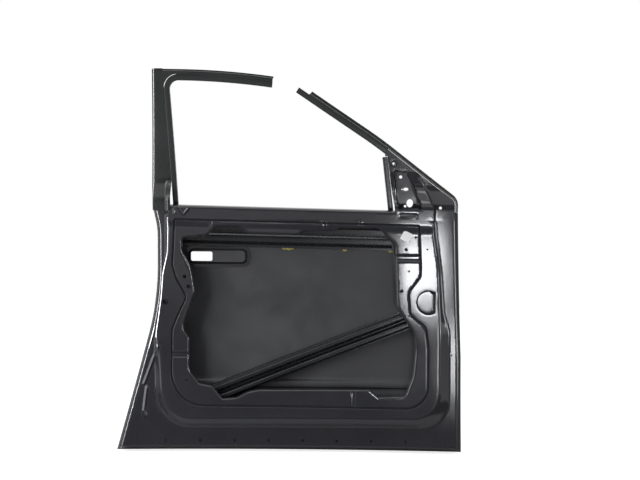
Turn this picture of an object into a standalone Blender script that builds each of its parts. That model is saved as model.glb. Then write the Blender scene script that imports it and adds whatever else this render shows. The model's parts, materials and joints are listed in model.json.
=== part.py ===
"""Front side door shell of a tall estate car, seen from the cabin: pressed inner panel, hemmed outer skin,
window frame, mirror triangle, side beam and the reinforcements between the two panels.

Places are written as (x, z, depth). x runs forward from the lower rear corner, z up from the sill edge, and
depth inboard from the outer face of the skin. The row frame's origin is the upper hinge face, +X forward,
+Z up and -Y towards the cabin.
"""

import math

import bmesh
import bpy
from mathutils import Vector
from mathutils.geometry import delaunay_2d_cdt

# Overall sizes, in metres
DOOR_LENGTH = 1.096
BELT_FRONT = 0.763
BELT_REAR = 0.783
FRAME_TOP = 1.200
PANEL_DEPTH = 0.082
LAND_DEPTH = 0.050

# Curve of the skin in side view and in plan, which all the sheets follow
CROWN_HEIGHT = 0.420
CROWN_RADIUS_UP = 2.6
CROWN_RADIUS_DOWN = 3.5
CROWN_MIDDLE = 0.560
CROWN_RADIUS_PLAN = 7.0

# Sheets and the joint between them
SKIN_SHEET = 0.0008
PANEL_SHEET = 0.0010
FRAME_SHEET = 0.0012
BRACE_SHEET = 0.0016
HINGE_SHEET = 0.0030
GAP = 0.0003
HEM_WIDTH = 0.0085
HEM_INSET = 0.0015
HEM_GAP = 0.0005

# Depths of the middles of the skin, of the hem flange and of the skin's folded edge
SKIN_MIDDLE = SKIN_SHEET / 2
FLANGE_DEPTH = SKIN_SHEET + HEM_GAP + PANEL_SHEET / 2
RETURN_DEPTH = SKIN_SHEET + 2 * HEM_GAP + PANEL_SHEET + SKIN_SHEET / 2

# Rear and front edges of the lower body
REAR_WAIST = 0.120
REAR_WAIST_HEIGHT = 0.473
REAR_WAIST_RADIUS = 1.300
REAR_SHOULDER_DROP = 0.075
REAR_SHOULDER_RADIUS = 0.250
REAR_TOP = 0.1035
FRONT_TOP_SETBACK = 0.0155
FRONT_BEND_HEIGHT = 0.300

# Walls of the inner panel: plan distance from the door's edge to the foot and the top of the jamb wall
JAMB_FOOT = 0.0145
JAMB_TOP = 0.0170
WALL_EASE = 0.0002
BELT_LIP_DROP = 0.005
BELT_LIP = 0.023
LAND_REAR = 0.1565
BAND_REAR = 0.167
LAND_FRONT_SETBACK = 0.093
BAND_FRONT_SETBACK = 0.105
LAND_FRONT = DOOR_LENGTH - LAND_FRONT_SETBACK
BAND_FRONT = DOOR_LENGTH - BAND_FRONT_SETBACK
BELT_BAND_DEPTH = 0.085
CORNER_REACH = 0.0105
BAND_HEIGHT = 0.045
BAND_BLEND = 0.030
BEAD_DROP = 0.007
INNER_FIELD_DROP = 0.003
OPENING_FLANGE = 0.005
OPENING_FLANGE_DROP = 0.010
DRAFT = 0.004

# Hinge faces on the front jamb
UPPER_HINGE_HEIGHT = 0.594
LOWER_HINGE_HEIGHT = 0.220
HINGE_PLATE_HEIGHT = 0.100
HINGE_NUT_SPACING = 0.050
HINGE_NUT_RADIUS = 0.0095
HINGE_NUT_HOLE = 0.0042
HINGE_NUT_HEIGHT = 0.008
CHECK_PLATE_HEIGHT = 0.080
CHECK_RISE = 0.003
CHECK_HEIGHT = (UPPER_HINGE_HEIGHT + LOWER_HINGE_HEIGHT) / 2 + CHECK_RISE
LATCH_HEIGHT = 0.490
LATCH_PLATE_HEIGHT = 0.150
CHECK_SLOT = (0.011, 0.008)
LATCH_MOUTH = (0.009, 0.028)
LATCH_SCREWS = ((0.045, 0.016), (0.045, 0.034), (-0.045, 0.025))
LATCH_SCREW_HOLE = 0.0035

# Half-moon pocket in the front of the inner panel
POCKET_SETBACK = 0.1115
POCKET_HEIGHT = 0.4775
POCKET_RADIUS = 0.039
POCKET_DROP = 0.022

# Outer handle pocket in the skin
HANDLE_REAR = 0.2205
HANDLE_FRONT = 0.4045
HANDLE_TOP = 0.640
HANDLE_BOTTOM = 0.594
HANDLE_HOLE_FRONT = 0.3045
HANDLE_RADIUS = 0.014
HANDLE_BOWL_DEPTH = 0.018

# Swage along the foot of the skin
SWAGE_BOTTOM = 0.198
SWAGE_TOP = 0.217
SWAGE_DEPTH = 0.004
SWAGE_END = 0.090

# Window frame
FRAME_REAR_TOP = 0.114
HEADER_FLAT = 0.200
HEADER_RADIUS = 2.3
HEADER_CUT = 0.4915
HEADER_WIDTH = 0.036
FRAME_FLANGE = 0.005
FRAME_WALL = 0.004
FRAME_DEPTH = 0.0274
FRAME_OVERLAP = 0.020
FRAME_SHOULDER = 0.006
FRAME_BLEND = 0.075
WALL_FOOT = 0.008
WALL_LEAN = 0.001
MITRE_GAP = 0.0009
CREASE_LAP = 0.002
PILLAR_CUT_SETBACK = 0.484
PILLAR_CUT_RISE = 0.375
PILLAR_CUT = (DOOR_LENGTH - PILLAR_CUT_SETBACK, BELT_FRONT + PILLAR_CUT_RISE)
PILLAR_MIDDLE_SETBACK = 0.265
PILLAR_MIDDLE_RISE = 0.233
PILLAR_MIDDLE = (DOOR_LENGTH - PILLAR_MIDDLE_SETBACK, BELT_FRONT + PILLAR_MIDDLE_RISE)
PILLAR_BEND_RADIUS = 1.5
PILLAR_FOOT_RISE = 0.0435
SHOULDER_RADIUS = 0.085
PILLAR_FLANGE = 0.007
PILLAR_WALL = 0.006
PILLAR_OUTER_LAP = 0.002
PILLAR_WIDTH = 0.032
GUSSET_HEIGHT = 0.105
GUSSET_FOOT = FRAME_TOP - GUSSET_HEIGHT
GUSSET_END = 0.235

# Glass run channels that line the window
CHANNEL_WIDTH = 0.016
CHANNEL_OUTER_DEPTH = 0.0165
CHANNEL_INNER_DEPTH = 0.0300
WINDOW_REAR_TOP = 0.1685
WINDOW_REAR_BELT = 0.190
WINDOW_CORNER_RADIUS = 0.036
REAR_CHANNEL_FOOT = 0.470
CHANNEL_TAIL = 0.038
GUIDE_TOP_SETBACK = 0.2605
GUIDE_TOP_RISE = 0.1715
GUIDE_TOP = (DOOR_LENGTH - GUIDE_TOP_SETBACK, BELT_FRONT + GUIDE_TOP_RISE)
GUIDE_BELT_SETBACK = 0.239
GUIDE_BELT = DOOR_LENGTH - GUIDE_BELT_SETBACK
GUIDE_FOOT = 0.470

# Mirror triangle
FLAG_FOOT_DROP = 0.027
FLAG_SILL_REACH = 0.075
SEAT_DEPTH = 0.0180
SEAT_DRAFT = 0.004
CREASE_WIDTH = 0.011
CREASE_RISE = 0.006
RIB_HEIGHT = 0.004

# Belt rails
RAIL_REAR = 0.150
RAIL_FRONT_SETBACK = 0.060
RAIL_SETBACK = 0.006
OUTER_RAIL_SECTION = (
    (0.128, 0.0045),
    (0.118, 0.0045),
    (0.112, 0.0130),
    (0.092, 0.0130),
    (0.086, 0.0070),
    (0.062, 0.0070),
    (0.056, 0.0130),
    (0.022, 0.0130),
    (0.015, 0.0024),
    (0.005, 0.0024),
)
INNER_RAIL_SECTION = (
    (0.0135, 0.0000),
    (0.0215, 0.0000),
    (0.0255, 0.0170),
    (0.044, 0.0170),
    (0.047, 0.0115),
)

# Side beam
BEAM_REAR = (0.112, 0.100)
BEAM_FRONT_SETBACK = 0.082
BEAM_FRONT_HEIGHT = 0.4545
BEAM_SHEET = 0.0020
BEAM_HALF_SECTION = ((0.031, 0.014), (0.025, 0.014), (0.021, 0.044), (0.009, 0.044), (0.004, 0.026))
BRACKET_HALF_WIDTH = 0.021
BRACKET_LAP = 0.045
BRACKET_REACH = 0.030

# Small parts
GLUE_DABS = ((0.538, 0.039), (0.7215, 0.016), (0.8695, 0.018))
GLUE_WIDTH = 0.007
LABEL_SETBACK = 0.184
LABEL_HEIGHT = 0.685
LABEL_SIDE = 0.030
LABEL_THICKNESS = 0.0005
LABEL_TURN = -27.0
SILL_HOLE_HEIGHT = 0.036
SILL_HOLE_PITCH = 0.108
SILL_HOLE_FIRST = 0.160
SILL_HOLE_COUNT = 8
SMALL_HOLE = 0.0032
HANDLE_RING_WIDTH = 0.012

# How finely curves are cut into flats
ARC_STEP = math.radians(18)
LONG_STEP = 0.045
HOLE_SIDES = 8
FIELD_PITCH = 0.045

FINISHES = {
    "black_ecoat": ((0.018, 0.018, 0.020, 1.0), 0.28, 0.0),
    "yellow_adhesive": ((0.62, 0.50, 0.06, 1.0), 0.55, 0.0),
    "white_label": ((0.85, 0.85, 0.84, 1.0), 0.60, 0.0),
}


def skin_curve(x, z):
    """Outboard place of the skin's outer face, which is zero at its crown."""
    radius = CROWN_RADIUS_UP if z > CROWN_HEIGHT else CROWN_RADIUS_DOWN
    return -((z - CROWN_HEIGHT) ** 2) / (2 * radius) - (x - CROWN_MIDDLE) ** 2 / (2 * CROWN_RADIUS_PLAN)


def front_edge(z):
    """x of the door's front edge, which leans back above its bend."""
    rise = max(0.0, z - FRONT_BEND_HEIGHT) / (BELT_FRONT - FRONT_BEND_HEIGHT)
    return DOOR_LENGTH - FRONT_TOP_SETBACK * rise


def front_jamb_x(z, depth):
    """x of the middle of the front jamb wall's sheet, which is flat above the edge's bend and below it."""
    foot = front_edge(UPPER_HINGE_HEIGHT) - JAMB_FOOT
    level = skin_curve(foot, UPPER_HINGE_HEIGHT) - FLANGE_DEPTH
    slope = (JAMB_TOP - JAMB_FOOT) / (LAND_DEPTH - FLANGE_DEPTH)
    x = front_edge(z) - JAMB_FOOT
    for _ in range(5):
        x = front_edge(z) - JAMB_FOOT + slope * (skin_curve(x, z) - depth - level)
    return x


def hinge_origin():
    """The middle of the upper hinge face, on the outer face of the front jamb wall."""
    z = UPPER_HINGE_HEIGHT
    x = front_jamb_x(z, LAND_DEPTH / 2) + PANEL_SHEET / 2
    return Vector((x, skin_curve(x, z) - LAND_DEPTH / 2, z))


ORIGIN = hinge_origin()


def place(x, z, depth):
    return Vector((x, skin_curve(x, z) - depth, z)) - ORIGIN


def belt(x):
    """Height of the belt line, which falls towards the front."""
    return BELT_REAR + (BELT_FRONT - BELT_REAR) * x / DOOR_LENGTH


def resolve(corners):
    """Corners as (x, z, radius): a negative x is back from the front edge, a negative z below the belt."""
    made = []
    for x, z, radius in corners:
        along = x if x >= 0 else DOOR_LENGTH + x
        made.append((along, z if z > 0 else belt(along) + z, radius))
    return made


def rounded(corners, closed=True):
    """The points of a line through the corners, with each corner's radius cut into flats."""
    points = []
    count = len(corners)
    for i, (x, z, radius) in enumerate(corners):
        here = Vector((x, z))
        if not closed and i in (0, count - 1) or radius <= 0:
            points.append(here)
            continue
        back = Vector(corners[i - 1][:2]) - here
        ahead = Vector(corners[(i + 1) % count][:2]) - here
        turn = math.pi - back.angle(ahead)
        if turn < 1e-3:
            points.append(here)
            continue
        reach = min(radius * math.tan(turn / 2), 0.49 * back.length, 0.49 * ahead.length)
        true_radius = reach / math.tan(turn / 2)
        halfway = (back.normalized() + ahead.normalized()).normalized()
        middle = here + halfway * true_radius / math.cos(turn / 2)
        start = here + back.normalized() * reach - middle
        side = 1 if back.cross(ahead) < 0 else -1
        steps = max(1, round(turn / ARC_STEP), math.ceil(true_radius * turn / LONG_STEP))
        for k in range(steps + 1):
            angle = side * turn * k / steps
            cos, sin = math.cos(angle), math.sin(angle)
            points.append(middle + Vector((start.x * cos - start.y * sin, start.x * sin + start.y * cos)))
    return points


def divided(points, closed=True, step=LONG_STEP):
    """The same line with its long stretches cut into even pieces."""
    made = []
    count = len(points)
    for i in range(count if closed else count - 1):
        start, end = points[i], points[(i + 1) % count]
        pieces = max(1, math.ceil((end - start).length / step - 0.2))
        made += [start.lerp(end, k / pieces) for k in range(pieces)]
    return made if closed else made + [points[-1]]


def offset(points, distance, closed=False):
    """The line moved sideways, to the right of its direction, with mitred corners."""
    made = []
    count = len(points)
    for i, here in enumerate(points):
        before = points[i - 1] if closed or i > 0 else None
        after = points[(i + 1) % count] if closed or i < count - 1 else None
        normals = []
        for a, b in ((before, here), (here, after)):
            if a is not None and b is not None:
                run = (b - a).normalized()
                normals.append(Vector((run.y, -run.x)))
        normal = sum(normals, Vector((0, 0))).normalized()
        made.append(here + normal * distance / max(0.3, normal.dot(normals[0])))
    return made


def inside(point, loop):
    """Whether a point lies within a closed loop."""
    found = False
    for i, here in enumerate(loop):
        other = loop[i - 1]
        if (here.y > point.y) != (other.y > point.y):
            if point.x < (other.x - here.x) * (point.y - here.y) / (other.y - here.y) + here.x:
                found = not found
    return found


def circle(x, z, radius, sides=HOLE_SIDES):
    return [
        Vector((x, z)) + radius * Vector((math.cos(math.tau * k / sides), math.sin(math.tau * k / sides)))
        for k in range(sides)
    ]


def material(finish):
    made = bpy.data.materials.get(finish)
    if made:
        return made
    color, roughness, metallic = FINISHES[finish]
    made = bpy.data.materials.new(finish)
    made.use_nodes = True
    shader = made.node_tree.nodes["Principled BSDF"]
    shader.inputs["Base Color"].default_value = color
    shader.inputs["Roughness"].default_value = roughness
    shader.inputs["Metallic"].default_value = metallic
    return made


def new_object(name, mesh_data, finish="black_ecoat"):
    obj = bpy.data.objects.new(name, mesh_data)
    bpy.context.scene.collection.objects.link(obj)
    mesh_data.materials.append(material(finish))
    return obj


def finished(name, bm, finish="black_ecoat", thickness=0.0):
    """An object of the bmesh. A sheet's thickness lies evenly on both sides of the modelled surface."""
    if thickness == 0:
        bmesh.ops.recalc_face_normals(bm, faces=bm.faces)
    mesh_data = bpy.data.meshes.new(name)
    bm.to_mesh(mesh_data)
    bm.free()
    obj = new_object(name, mesh_data, finish)
    if thickness:
        solid = obj.modifiers.new("sheet", "SOLIDIFY")
        solid.thickness = thickness
        solid.offset = 0
        solid.use_even_offset = True
        solid.use_quality_normals = True
    mesh_data.shade_smooth()
    mesh_data.set_sharp_from_angle(angle=math.radians(30))
    return obj


class Sheet:
    """A pressed sheet seen in the door's plane: closed loops of (x, z) with a depth for each, and holes."""

    def __init__(self, outer, outer_depth):
        self.points, self.edges, self.depths = [], [], []
        self.fields, self.holes = [], []
        self.outer = outer
        self.loop(outer, outer_depth)

    def loop(self, points, depth, closed=True):
        """Adds a line that the sheet bends along. depth is a number, or a function of x and z."""
        first = len(self.points)
        count = len(points)
        self.points += points
        self.depths += [depth(p.x, p.y) if callable(depth) else depth for p in points]
        for i in range(count if closed else count - 1):
            self.edges.append((first + i, first + (i + 1) % count))

    def field(self, loop, depth):
        """What lies inside this loop, and inside no later one, has this depth. None leaves it unfilled."""
        self.fields.append((loop, depth))

    def hole(self, points, depth):
        self.loop(points, depth)
        self.holes.append(points)

    def depth_at(self, point):
        found = None
        for loop, depth in self.fields:
            if inside(point, loop):
                found = depth(point.x, point.y) if callable(depth) else depth
        return found

    def fill(self, pitch):
        """Adds points in the open fields, so that their flats follow the door's curve."""
        low_x, high_x = min(p.x for p in self.outer), max(p.x for p in self.outer)
        low_z, high_z = min(p.y for p in self.outer), max(p.y for p in self.outer)
        clear = (0.4 * pitch) ** 2
        lines = list(self.points)
        for i in range(1, int((high_x - low_x) / pitch) + 1):
            for j in range(1, int((high_z - low_z) / pitch) + 1):
                spot = Vector((low_x + i * pitch, low_z + j * pitch))
                if not inside(spot, self.outer) or any(inside(spot, hole) for hole in self.holes):
                    continue
                depth = self.depth_at(spot)
                if depth is None or any((spot - p).length_squared < clear for p in lines):
                    continue
                self.points.append(spot)
                self.depths.append(depth)

    def bmesh(self):
        """The sheet's surface facing the cabin."""
        verts, _, faces, origins, _, _ = delaunay_2d_cdt(self.points, self.edges, [], 0, 1e-7)
        crossings = [tuple(round(c, 4) for c in v) for i, v in enumerate(verts) if not origins[i]]
        if crossings:
            raise ValueError(f"lines of a sheet cross at {crossings}")
        bm = bmesh.new()
        made = [bm.verts.new(place(v.x, v.y, self.depths[origins[i][0]])) for i, v in enumerate(verts)]
        for a, b, c in faces:
            middle = (verts[a] + verts[b] + verts[c]) / 3
            solid = (verts[b] - verts[a]).cross(verts[c] - verts[a]) > 5e-8
            if solid and inside(middle, self.outer) and not any(inside(middle, hole) for hole in self.holes):
                bm.faces.new((made[a], made[b], made[c]))
        for vert in [v for v in bm.verts if not v.link_faces]:
            bm.verts.remove(vert)
        return bm


def strip(name, lines, thickness, finish="black_ecoat"):
    """A sheet lofted over lines of (x, z, depth) that have as many points each."""
    bm = bmesh.new()
    rows = [[bm.verts.new(place(*point)) for point in line] for line in lines]
    for row, following in zip(rows, rows[1:]):
        for i in range(len(row) - 1):
            bm.faces.new((row[i], row[i + 1], following[i + 1], following[i]))
    return finished(name, bm, finish, thickness)


def along(path, section):
    """Lines beside a path, for strip(): the section gives (distance to the right, depth) for each."""
    lines = []
    for distance, depth in section:
        lines.append([(p.x, p.y, depth) for p in offset(path, distance)])
    return lines


def rear_points():
    """The lower body's rear edge, from the sill up to the belt."""
    corners = [
        (0.0, 0.0, 0),
        (REAR_WAIST, REAR_WAIST_HEIGHT, REAR_WAIST_RADIUS),
        (REAR_WAIST, BELT_REAR - REAR_SHOULDER_DROP, REAR_SHOULDER_RADIUS),
        (REAR_TOP, BELT_REAR, 0),
    ]
    return divided(rounded(corners, closed=False), closed=False)


def rear_edge(z):
    points = rear_points()
    for a, b in zip(points, points[1:]):
        if a.y <= z <= b.y:
            return a.x + (b.x - a.x) * (z - a.y) / (b.y - a.y)
    return points[-1].x


def body_line(rear, bottom, front, top, wall=None):
    """Closed line at its own distance from each side of the lower body. It always has as many points.

    With wall, a depth, its front side runs along the front jamb wall at that depth. It is eased in a little
    at the ends and the bend, so that nothing stands proud of the wall's flat faces.
    """
    eases = {bottom: WALL_EASE, FRONT_BEND_HEIGHT: WALL_EASE / 10}

    def front_x(z, ease):
        return front_edge(z) - front if wall is None else front_jamb_x(z, wall) - ease

    heights = [bottom] + [p.y for p in rear_points()[1:-1]]
    rear_side = [Vector((rear_edge(z) + rear, z)) for z in heights]
    top_rear = Vector((REAR_TOP + rear, belt(REAR_TOP + rear) - top))
    rest = BELT_FRONT - FRONT_BEND_HEIGHT
    heights = [bottom] + [FRONT_BEND_HEIGHT * k / 6 for k in range(1, 6)]
    heights += [FRONT_BEND_HEIGHT + rest * k / 12 for k in range(12)]
    front_side = [Vector((front_x(z, eases.get(z, 0)), z)) for z in heights]
    front_top = belt(DOOR_LENGTH - front) - top
    top_front = Vector((front_x(BELT_FRONT if wall is None else front_top, WALL_EASE), front_top))
    width = top_front.x - top_rear.x
    marks = [CORNER_REACH, LAND_REAR - top_rear.x, BAND_REAR - top_rear.x]
    marks += [width - CORNER_REACH, LAND_FRONT - top_rear.x, BAND_FRONT - top_rear.x]
    across = {k / 24 for k in range(3, 24) if k != 22} | {1 - m / width for m in marks}
    across = sorted(across)
    sill = [Vector((rear_side[0].x + (front_side[0].x - rear_side[0].x) * k, bottom)) for k in across]
    belt_side = [top_front.lerp(top_rear, k) for k in across]
    return rear_side[:1] + sill + front_side + [top_front] + belt_side + [top_rear] + rear_side[:0:-1]


def is_top(z, x):
    """0 below the belt band and 1 in it, smoothly between."""
    share = (z - (belt(x) - BAND_HEIGHT - BAND_BLEND)) / BAND_BLEND
    share = min(1.0, max(0.0, share))
    return share * share * (3 - 2 * share)


def band_share(x):
    """0 over the jambs' lands and 1 over the belt band between them."""
    rear = (x - LAND_REAR) / (BAND_REAR - LAND_REAR)
    front = (LAND_FRONT - x) / (LAND_FRONT - BAND_FRONT)
    return min(1.0, max(0.0, min(rear, front)))


def mixed(side, top):
    """A depth that is one value along the sides and another along the belt."""
    return lambda x, z: side + (top - side) * is_top(z, x)


def land_or_band(x, z):
    return LAND_DEPTH + (BELT_BAND_DEPTH - LAND_DEPTH) * is_top(z, x) * band_share(x)


def along_belt(rise, drop):
    """Depth of a line in the hem, which rises on the belt side to stop short of the band by the rise."""

    def at(x, z):
        corner = min(x - REAR_TOP, front_edge(BELT_FRONT) - x)
        if z < belt(x) - drop - 0.0005 or corner < CORNER_REACH + JAMB_FOOT / 2:
            return FLANGE_DEPTH
        level = LAND_DEPTH + (BELT_BAND_DEPTH - LAND_DEPTH) * band_share(x)
        return level - rise if corner > 2.5 * CORNER_REACH else FLANGE_DEPTH + drop

    return at


MAIN_CORNERS = [
    (0.166, -0.038, 0.012),
    (0.163, 0.630, 0.080),
    (0.1480, 0.562, 0.080),
    (0.1430, 0.489, 0.100),
    (0.1350, 0.426, 0.080),
    (0.1270, 0.368, 0.080),
    (0.138, 0.295, 0.120),
    (0.153, 0.108, 0.120),
    (-0.076, 0.112, 0.085),
    (-0.075, 0.441, 0.200),
    (-0.082, 0.582, 0.200),
    (-0.100, 0.698, 0.100),
    (-0.104, -0.038, 0.012),
]
STEP_CORNERS = [
    (0.167, -0.032, 0),
    (0.154, -0.032, 0.004),
    (0.153, 0.630, 0.080),
    (0.1420, 0.561, 0.080),
    (0.1370, 0.487, 0.100),
    (0.1290, 0.424, 0.080),
    (0.1200, 0.365, 0.080),
    (0.123, 0.292, 0.120),
    (0.131, 0.076, 0.135),
    (-0.044, 0.080, 0.085),
    (-0.044, 0.385, 0.030),
    (-0.063, 0.444, 0.060),
    (-0.073, 0.581, 0.200),
    (-0.090, 0.698, 0.100),
    (-0.093, -0.032, 0.004),
    (-0.105, -0.032, 0),
]
BEAD_CORNERS = [
    (0.181, -0.042, 0.010),
    (0.173, 0.586, 0.050),
    (0.184, 0.547, 0.030),
    (0.217, 0.487, 0.020),
    (0.194, 0.440, 0.040),
    (0.173, 0.387, 0.060),
    (0.174, 0.145, 0.108),
    (-0.106, 0.139, 0.075),
    (-0.106, 0.334, 0.100),
    (-0.115, 0.402, 0.040),
    (-0.164, 0.440, 0.030),
    (-0.170, 0.508, 0.030),
    (-0.133, 0.557, 0.030),
    (-0.133, 0.596, 0.100),
    (-0.140, -0.042, 0.010),
]
NOTCH_REAR = 0.418
NOTCH_FRONT_SETBACK = 0.407
NOTCH_SPAN = DOOR_LENGTH - NOTCH_FRONT_SETBACK - NOTCH_REAR
OPENING_CORNERS = [
    (0.209, 0.675, 0.010),
    (0.284, 0.683, 0.008),
    (0.316, 0.711, 0.010),
    (0.381, 0.711, 0.010),
    (NOTCH_REAR, 0.690, 0.010),
    (NOTCH_REAR + NOTCH_SPAN * 0.57, 0.687, 0.008),
    (NOTCH_REAR + NOTCH_SPAN * 0.64, 0.699, 0.010),
    (-NOTCH_FRONT_SETBACK, 0.701, 0.008),
    (-0.391, 0.709, 0.008),
    (-0.269, 0.709, 0.014),
    (-0.219, 0.658, 0.020),
    (-0.215, 0.557, 0.100),
    (-0.211, 0.461, 0.020),
    (-0.157, 0.380, 0.060),
    (-0.152, 0.324, 0.080),
    (-0.159, 0.246, 0.060),
    (-0.182, 0.184, 0.014),
    (-0.266, 0.179, 0.010),
    (-0.295, 0.202, 0.008),
    (0.451, 0.199, 0.010),
    (0.415, 0.191, 0.012),
    (0.383, 0.174, 0.008),
    (0.338, 0.170, 0.008),
    (0.305, 0.210, 0.008),
    (0.264, 0.218, 0.016),
    (0.232, 0.260, 0.030),
    (0.232, 0.359, 0.008),
    (0.214, 0.386, 0.010),
    (0.214, 0.406, 0.012),
    (0.248, 0.503, 0.050),
    (0.236, 0.576, 0.040),
    (0.207, 0.635, 0.014),
]
PANEL_HOLES = [
    (-0.155, 0.683, 0.0040),
    (-0.184, 0.644, 0.0055),
    (-0.118, 0.645, 0.0030),
    (-0.174, 0.576, 0.0035),
    (-0.197, 0.513, 0.0065),
    (-0.173, 0.435, 0.0030),
    (-0.036, 0.310, 0.0032),
    (-0.035, 0.180, 0.0032),
    (0.216, 0.553, 0.0060),
    (0.228, 0.522, 0.0065),
    (0.157, 0.474, 0.0090),
    (0.225, 0.229, 0.0035),
    (0.446, 0.171, 0.0035),
]


def panel_loop(corners, inward=0.0):
    points = rounded(resolve(corners))
    return divided(offset(points, inward, closed=True) if inward else points)


def pocket_loop(radius):
    """D-shaped line of the half-moon pocket, its straight side towards the front jamb."""
    x, z = DOOR_LENGTH - POCKET_SETBACK, POCKET_HEIGHT
    flat = 0.55 * radius
    half = math.acos(flat / radius)
    steps = 10
    points = []
    for k in range(steps + 1):
        angle = half + (2 * math.pi - 2 * half) * k / steps
        points.append(Vector((x + radius * math.cos(angle), z + radius * math.sin(angle))))
    return points


def inner_panel():
    """The pressed inner panel: hem flange, jamb wall, seal land, two steps, main face, bead and opening."""
    edge = body_line(HEM_INSET, HEM_INSET, HEM_INSET, 0)
    foot = body_line(JAMB_FOOT, JAMB_FOOT, JAMB_FOOT, BELT_LIP_DROP, FLANGE_DEPTH)
    wall_top = body_line(JAMB_TOP, JAMB_TOP, JAMB_TOP, BELT_LIP_DROP + 0.005, LAND_DEPTH)
    field_depth = PANEL_DEPTH - INNER_FIELD_DROP
    sheet = Sheet(edge, along_belt(BELT_LIP, 0))
    sheet.loop(foot, along_belt(0.003, BELT_LIP_DROP))
    sheet.loop(wall_top, land_or_band)
    sheet.field(wall_top, land_or_band)

    step = panel_loop(STEP_CORNERS)
    sheet.loop(step, land_or_band)
    sheet.field(step, None)
    main = panel_loop(MAIN_CORNERS)
    sheet.loop(main, mixed(PANEL_DEPTH, BELT_BAND_DEPTH))
    sheet.field(main, PANEL_DEPTH)

    sheet.loop(panel_loop(BEAD_CORNERS), PANEL_DEPTH)
    sheet.loop(panel_loop(BEAD_CORNERS, -DRAFT), PANEL_DEPTH - BEAD_DROP)
    field = panel_loop(BEAD_CORNERS, -2 * DRAFT)
    sheet.loop(field, field_depth)
    sheet.field(field, field_depth)

    sheet.loop(panel_loop(OPENING_CORNERS, -OPENING_FLANGE), field_depth)
    sheet.hole(panel_loop(OPENING_CORNERS), field_depth - OPENING_FLANGE_DROP)

    sheet.loop(pocket_loop(POCKET_RADIUS), PANEL_DEPTH)
    sheet.loop(pocket_loop(POCKET_RADIUS - DRAFT), PANEL_DEPTH - POCKET_DROP)
    sheet.field(pocket_loop(POCKET_RADIUS - DRAFT), PANEL_DEPTH - POCKET_DROP)

    for x, z, radius in resolve(PANEL_HOLES):
        ring = circle(x, z, radius)
        sheet.hole(ring, sheet.depth_at(ring[0]))
    for k in range(SILL_HOLE_COUNT):
        ring = circle(SILL_HOLE_FIRST + k * SILL_HOLE_PITCH, SILL_HOLE_HEIGHT, SMALL_HOLE)
        sheet.hole(ring, LAND_DEPTH)
    sheet.fill(FIELD_PITCH)
    return finished("inner_panel", sheet.bmesh(), thickness=PANEL_SHEET)


def handle_loop(inset, front=HANDLE_FRONT):
    corners = [
        (HANDLE_REAR + inset, HANDLE_BOTTOM + inset),
        (front - inset, HANDLE_BOTTOM + inset),
        (front - inset, HANDLE_TOP - inset),
        (HANDLE_REAR + inset, HANDLE_TOP - inset),
    ]
    radius = HANDLE_RADIUS - inset
    return rounded([(x, z, radius) for x, z in corners])


def outer_skin():
    """The skin: its hem folded round the inner panel's flange, its handle pocket and its foot's swage."""
    edge = body_line(0, 0, 0, 0)
    sheet = Sheet(edge, SKIN_MIDDLE)
    sheet.loop(body_line(JAMB_FOOT, JAMB_FOOT, JAMB_FOOT, JAMB_FOOT), SKIN_MIDDLE)
    sheet.field(edge, SKIN_MIDDLE)
    for z, depth in (
        (SWAGE_BOTTOM - DRAFT, SKIN_MIDDLE),
        (SWAGE_BOTTOM, SKIN_MIDDLE + SWAGE_DEPTH),
        (SWAGE_TOP, SKIN_MIDDLE + SWAGE_DEPTH),
        (SWAGE_TOP + DRAFT, SKIN_MIDDLE),
    ):
        ends = [Vector((SWAGE_END, z)), Vector((DOOR_LENGTH - SWAGE_END, z))]
        sheet.loop(divided(ends, closed=False), depth, closed=False)
    low, high = SWAGE_BOTTOM - DRAFT, SWAGE_TOP + DRAFT
    ends = (SWAGE_END - DRAFT, DOOR_LENGTH - SWAGE_END + DRAFT)
    sheet.field([Vector((x, z)) for x, z in zip((*ends, *ends[::-1]), (low, low, high, high))], None)
    sheet.loop(handle_loop(0), SKIN_MIDDLE)
    bowl = handle_loop(DRAFT)
    sheet.loop(bowl, lambda x, z: SKIN_MIDDLE + HANDLE_BOWL_DEPTH)
    sheet.field(bowl, SKIN_MIDDLE + HANDLE_BOWL_DEPTH)
    hole = handle_loop(2 * DRAFT, HANDLE_HOLE_FRONT)
    sheet.hole(hole, SKIN_MIDDLE + HANDLE_BOWL_DEPTH)
    sheet.fill(FIELD_PITCH)
    bm = sheet.bmesh()
    fold_hem(bm, edge)
    return finished("outer_skin", bm, thickness=SKIN_SHEET)


def fold_hem(bm, edge):
    """Folds the skin's edge back on itself along the rear, the sill and the front, but not the belt."""
    returned = body_line(HEM_WIDTH, HEM_WIDTH, HEM_WIDTH, 0)
    bm.verts.ensure_lookup_table()
    on_edge = {}
    for vert in bm.verts:
        if any(e.is_boundary for e in vert.link_edges):
            on_edge[tuple(round(c, 5) for c in vert.co)] = vert
    rows = []
    for point, inner in zip(edge, returned):
        outer = on_edge[tuple(round(c, 5) for c in place(point.x, point.y, SKIN_MIDDLE))]
        fold = bm.verts.new(place(point.x, point.y, RETURN_DEPTH))
        end = bm.verts.new(place(inner.x, inner.y, RETURN_DEPTH))
        rows.append((point, (outer, fold, end)))
    for (start, first), (finish, second) in zip(rows, rows[1:] + rows[:1]):
        if on_belt(start) and on_belt(finish):
            continue
        bm.faces.new((first[0], second[0], second[1], first[1]))
        bm.faces.new((first[1], second[1], second[2], first[2]))
    for vert in [v for v in bm.verts if not v.link_faces]:
        bm.verts.remove(vert)
    bmesh.ops.recalc_face_normals(bm, faces=bm.faces)


def on_belt(point):
    return abs(point.y - belt(point.x)) < 0.001


RUN_OFFSET = CHANNEL_WIDTH + FRAME_SHEET / 2 + GAP
ON_PANEL = PANEL_SHEET / 2 + 2 * GAP + FRAME_SHEET / 2


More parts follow.
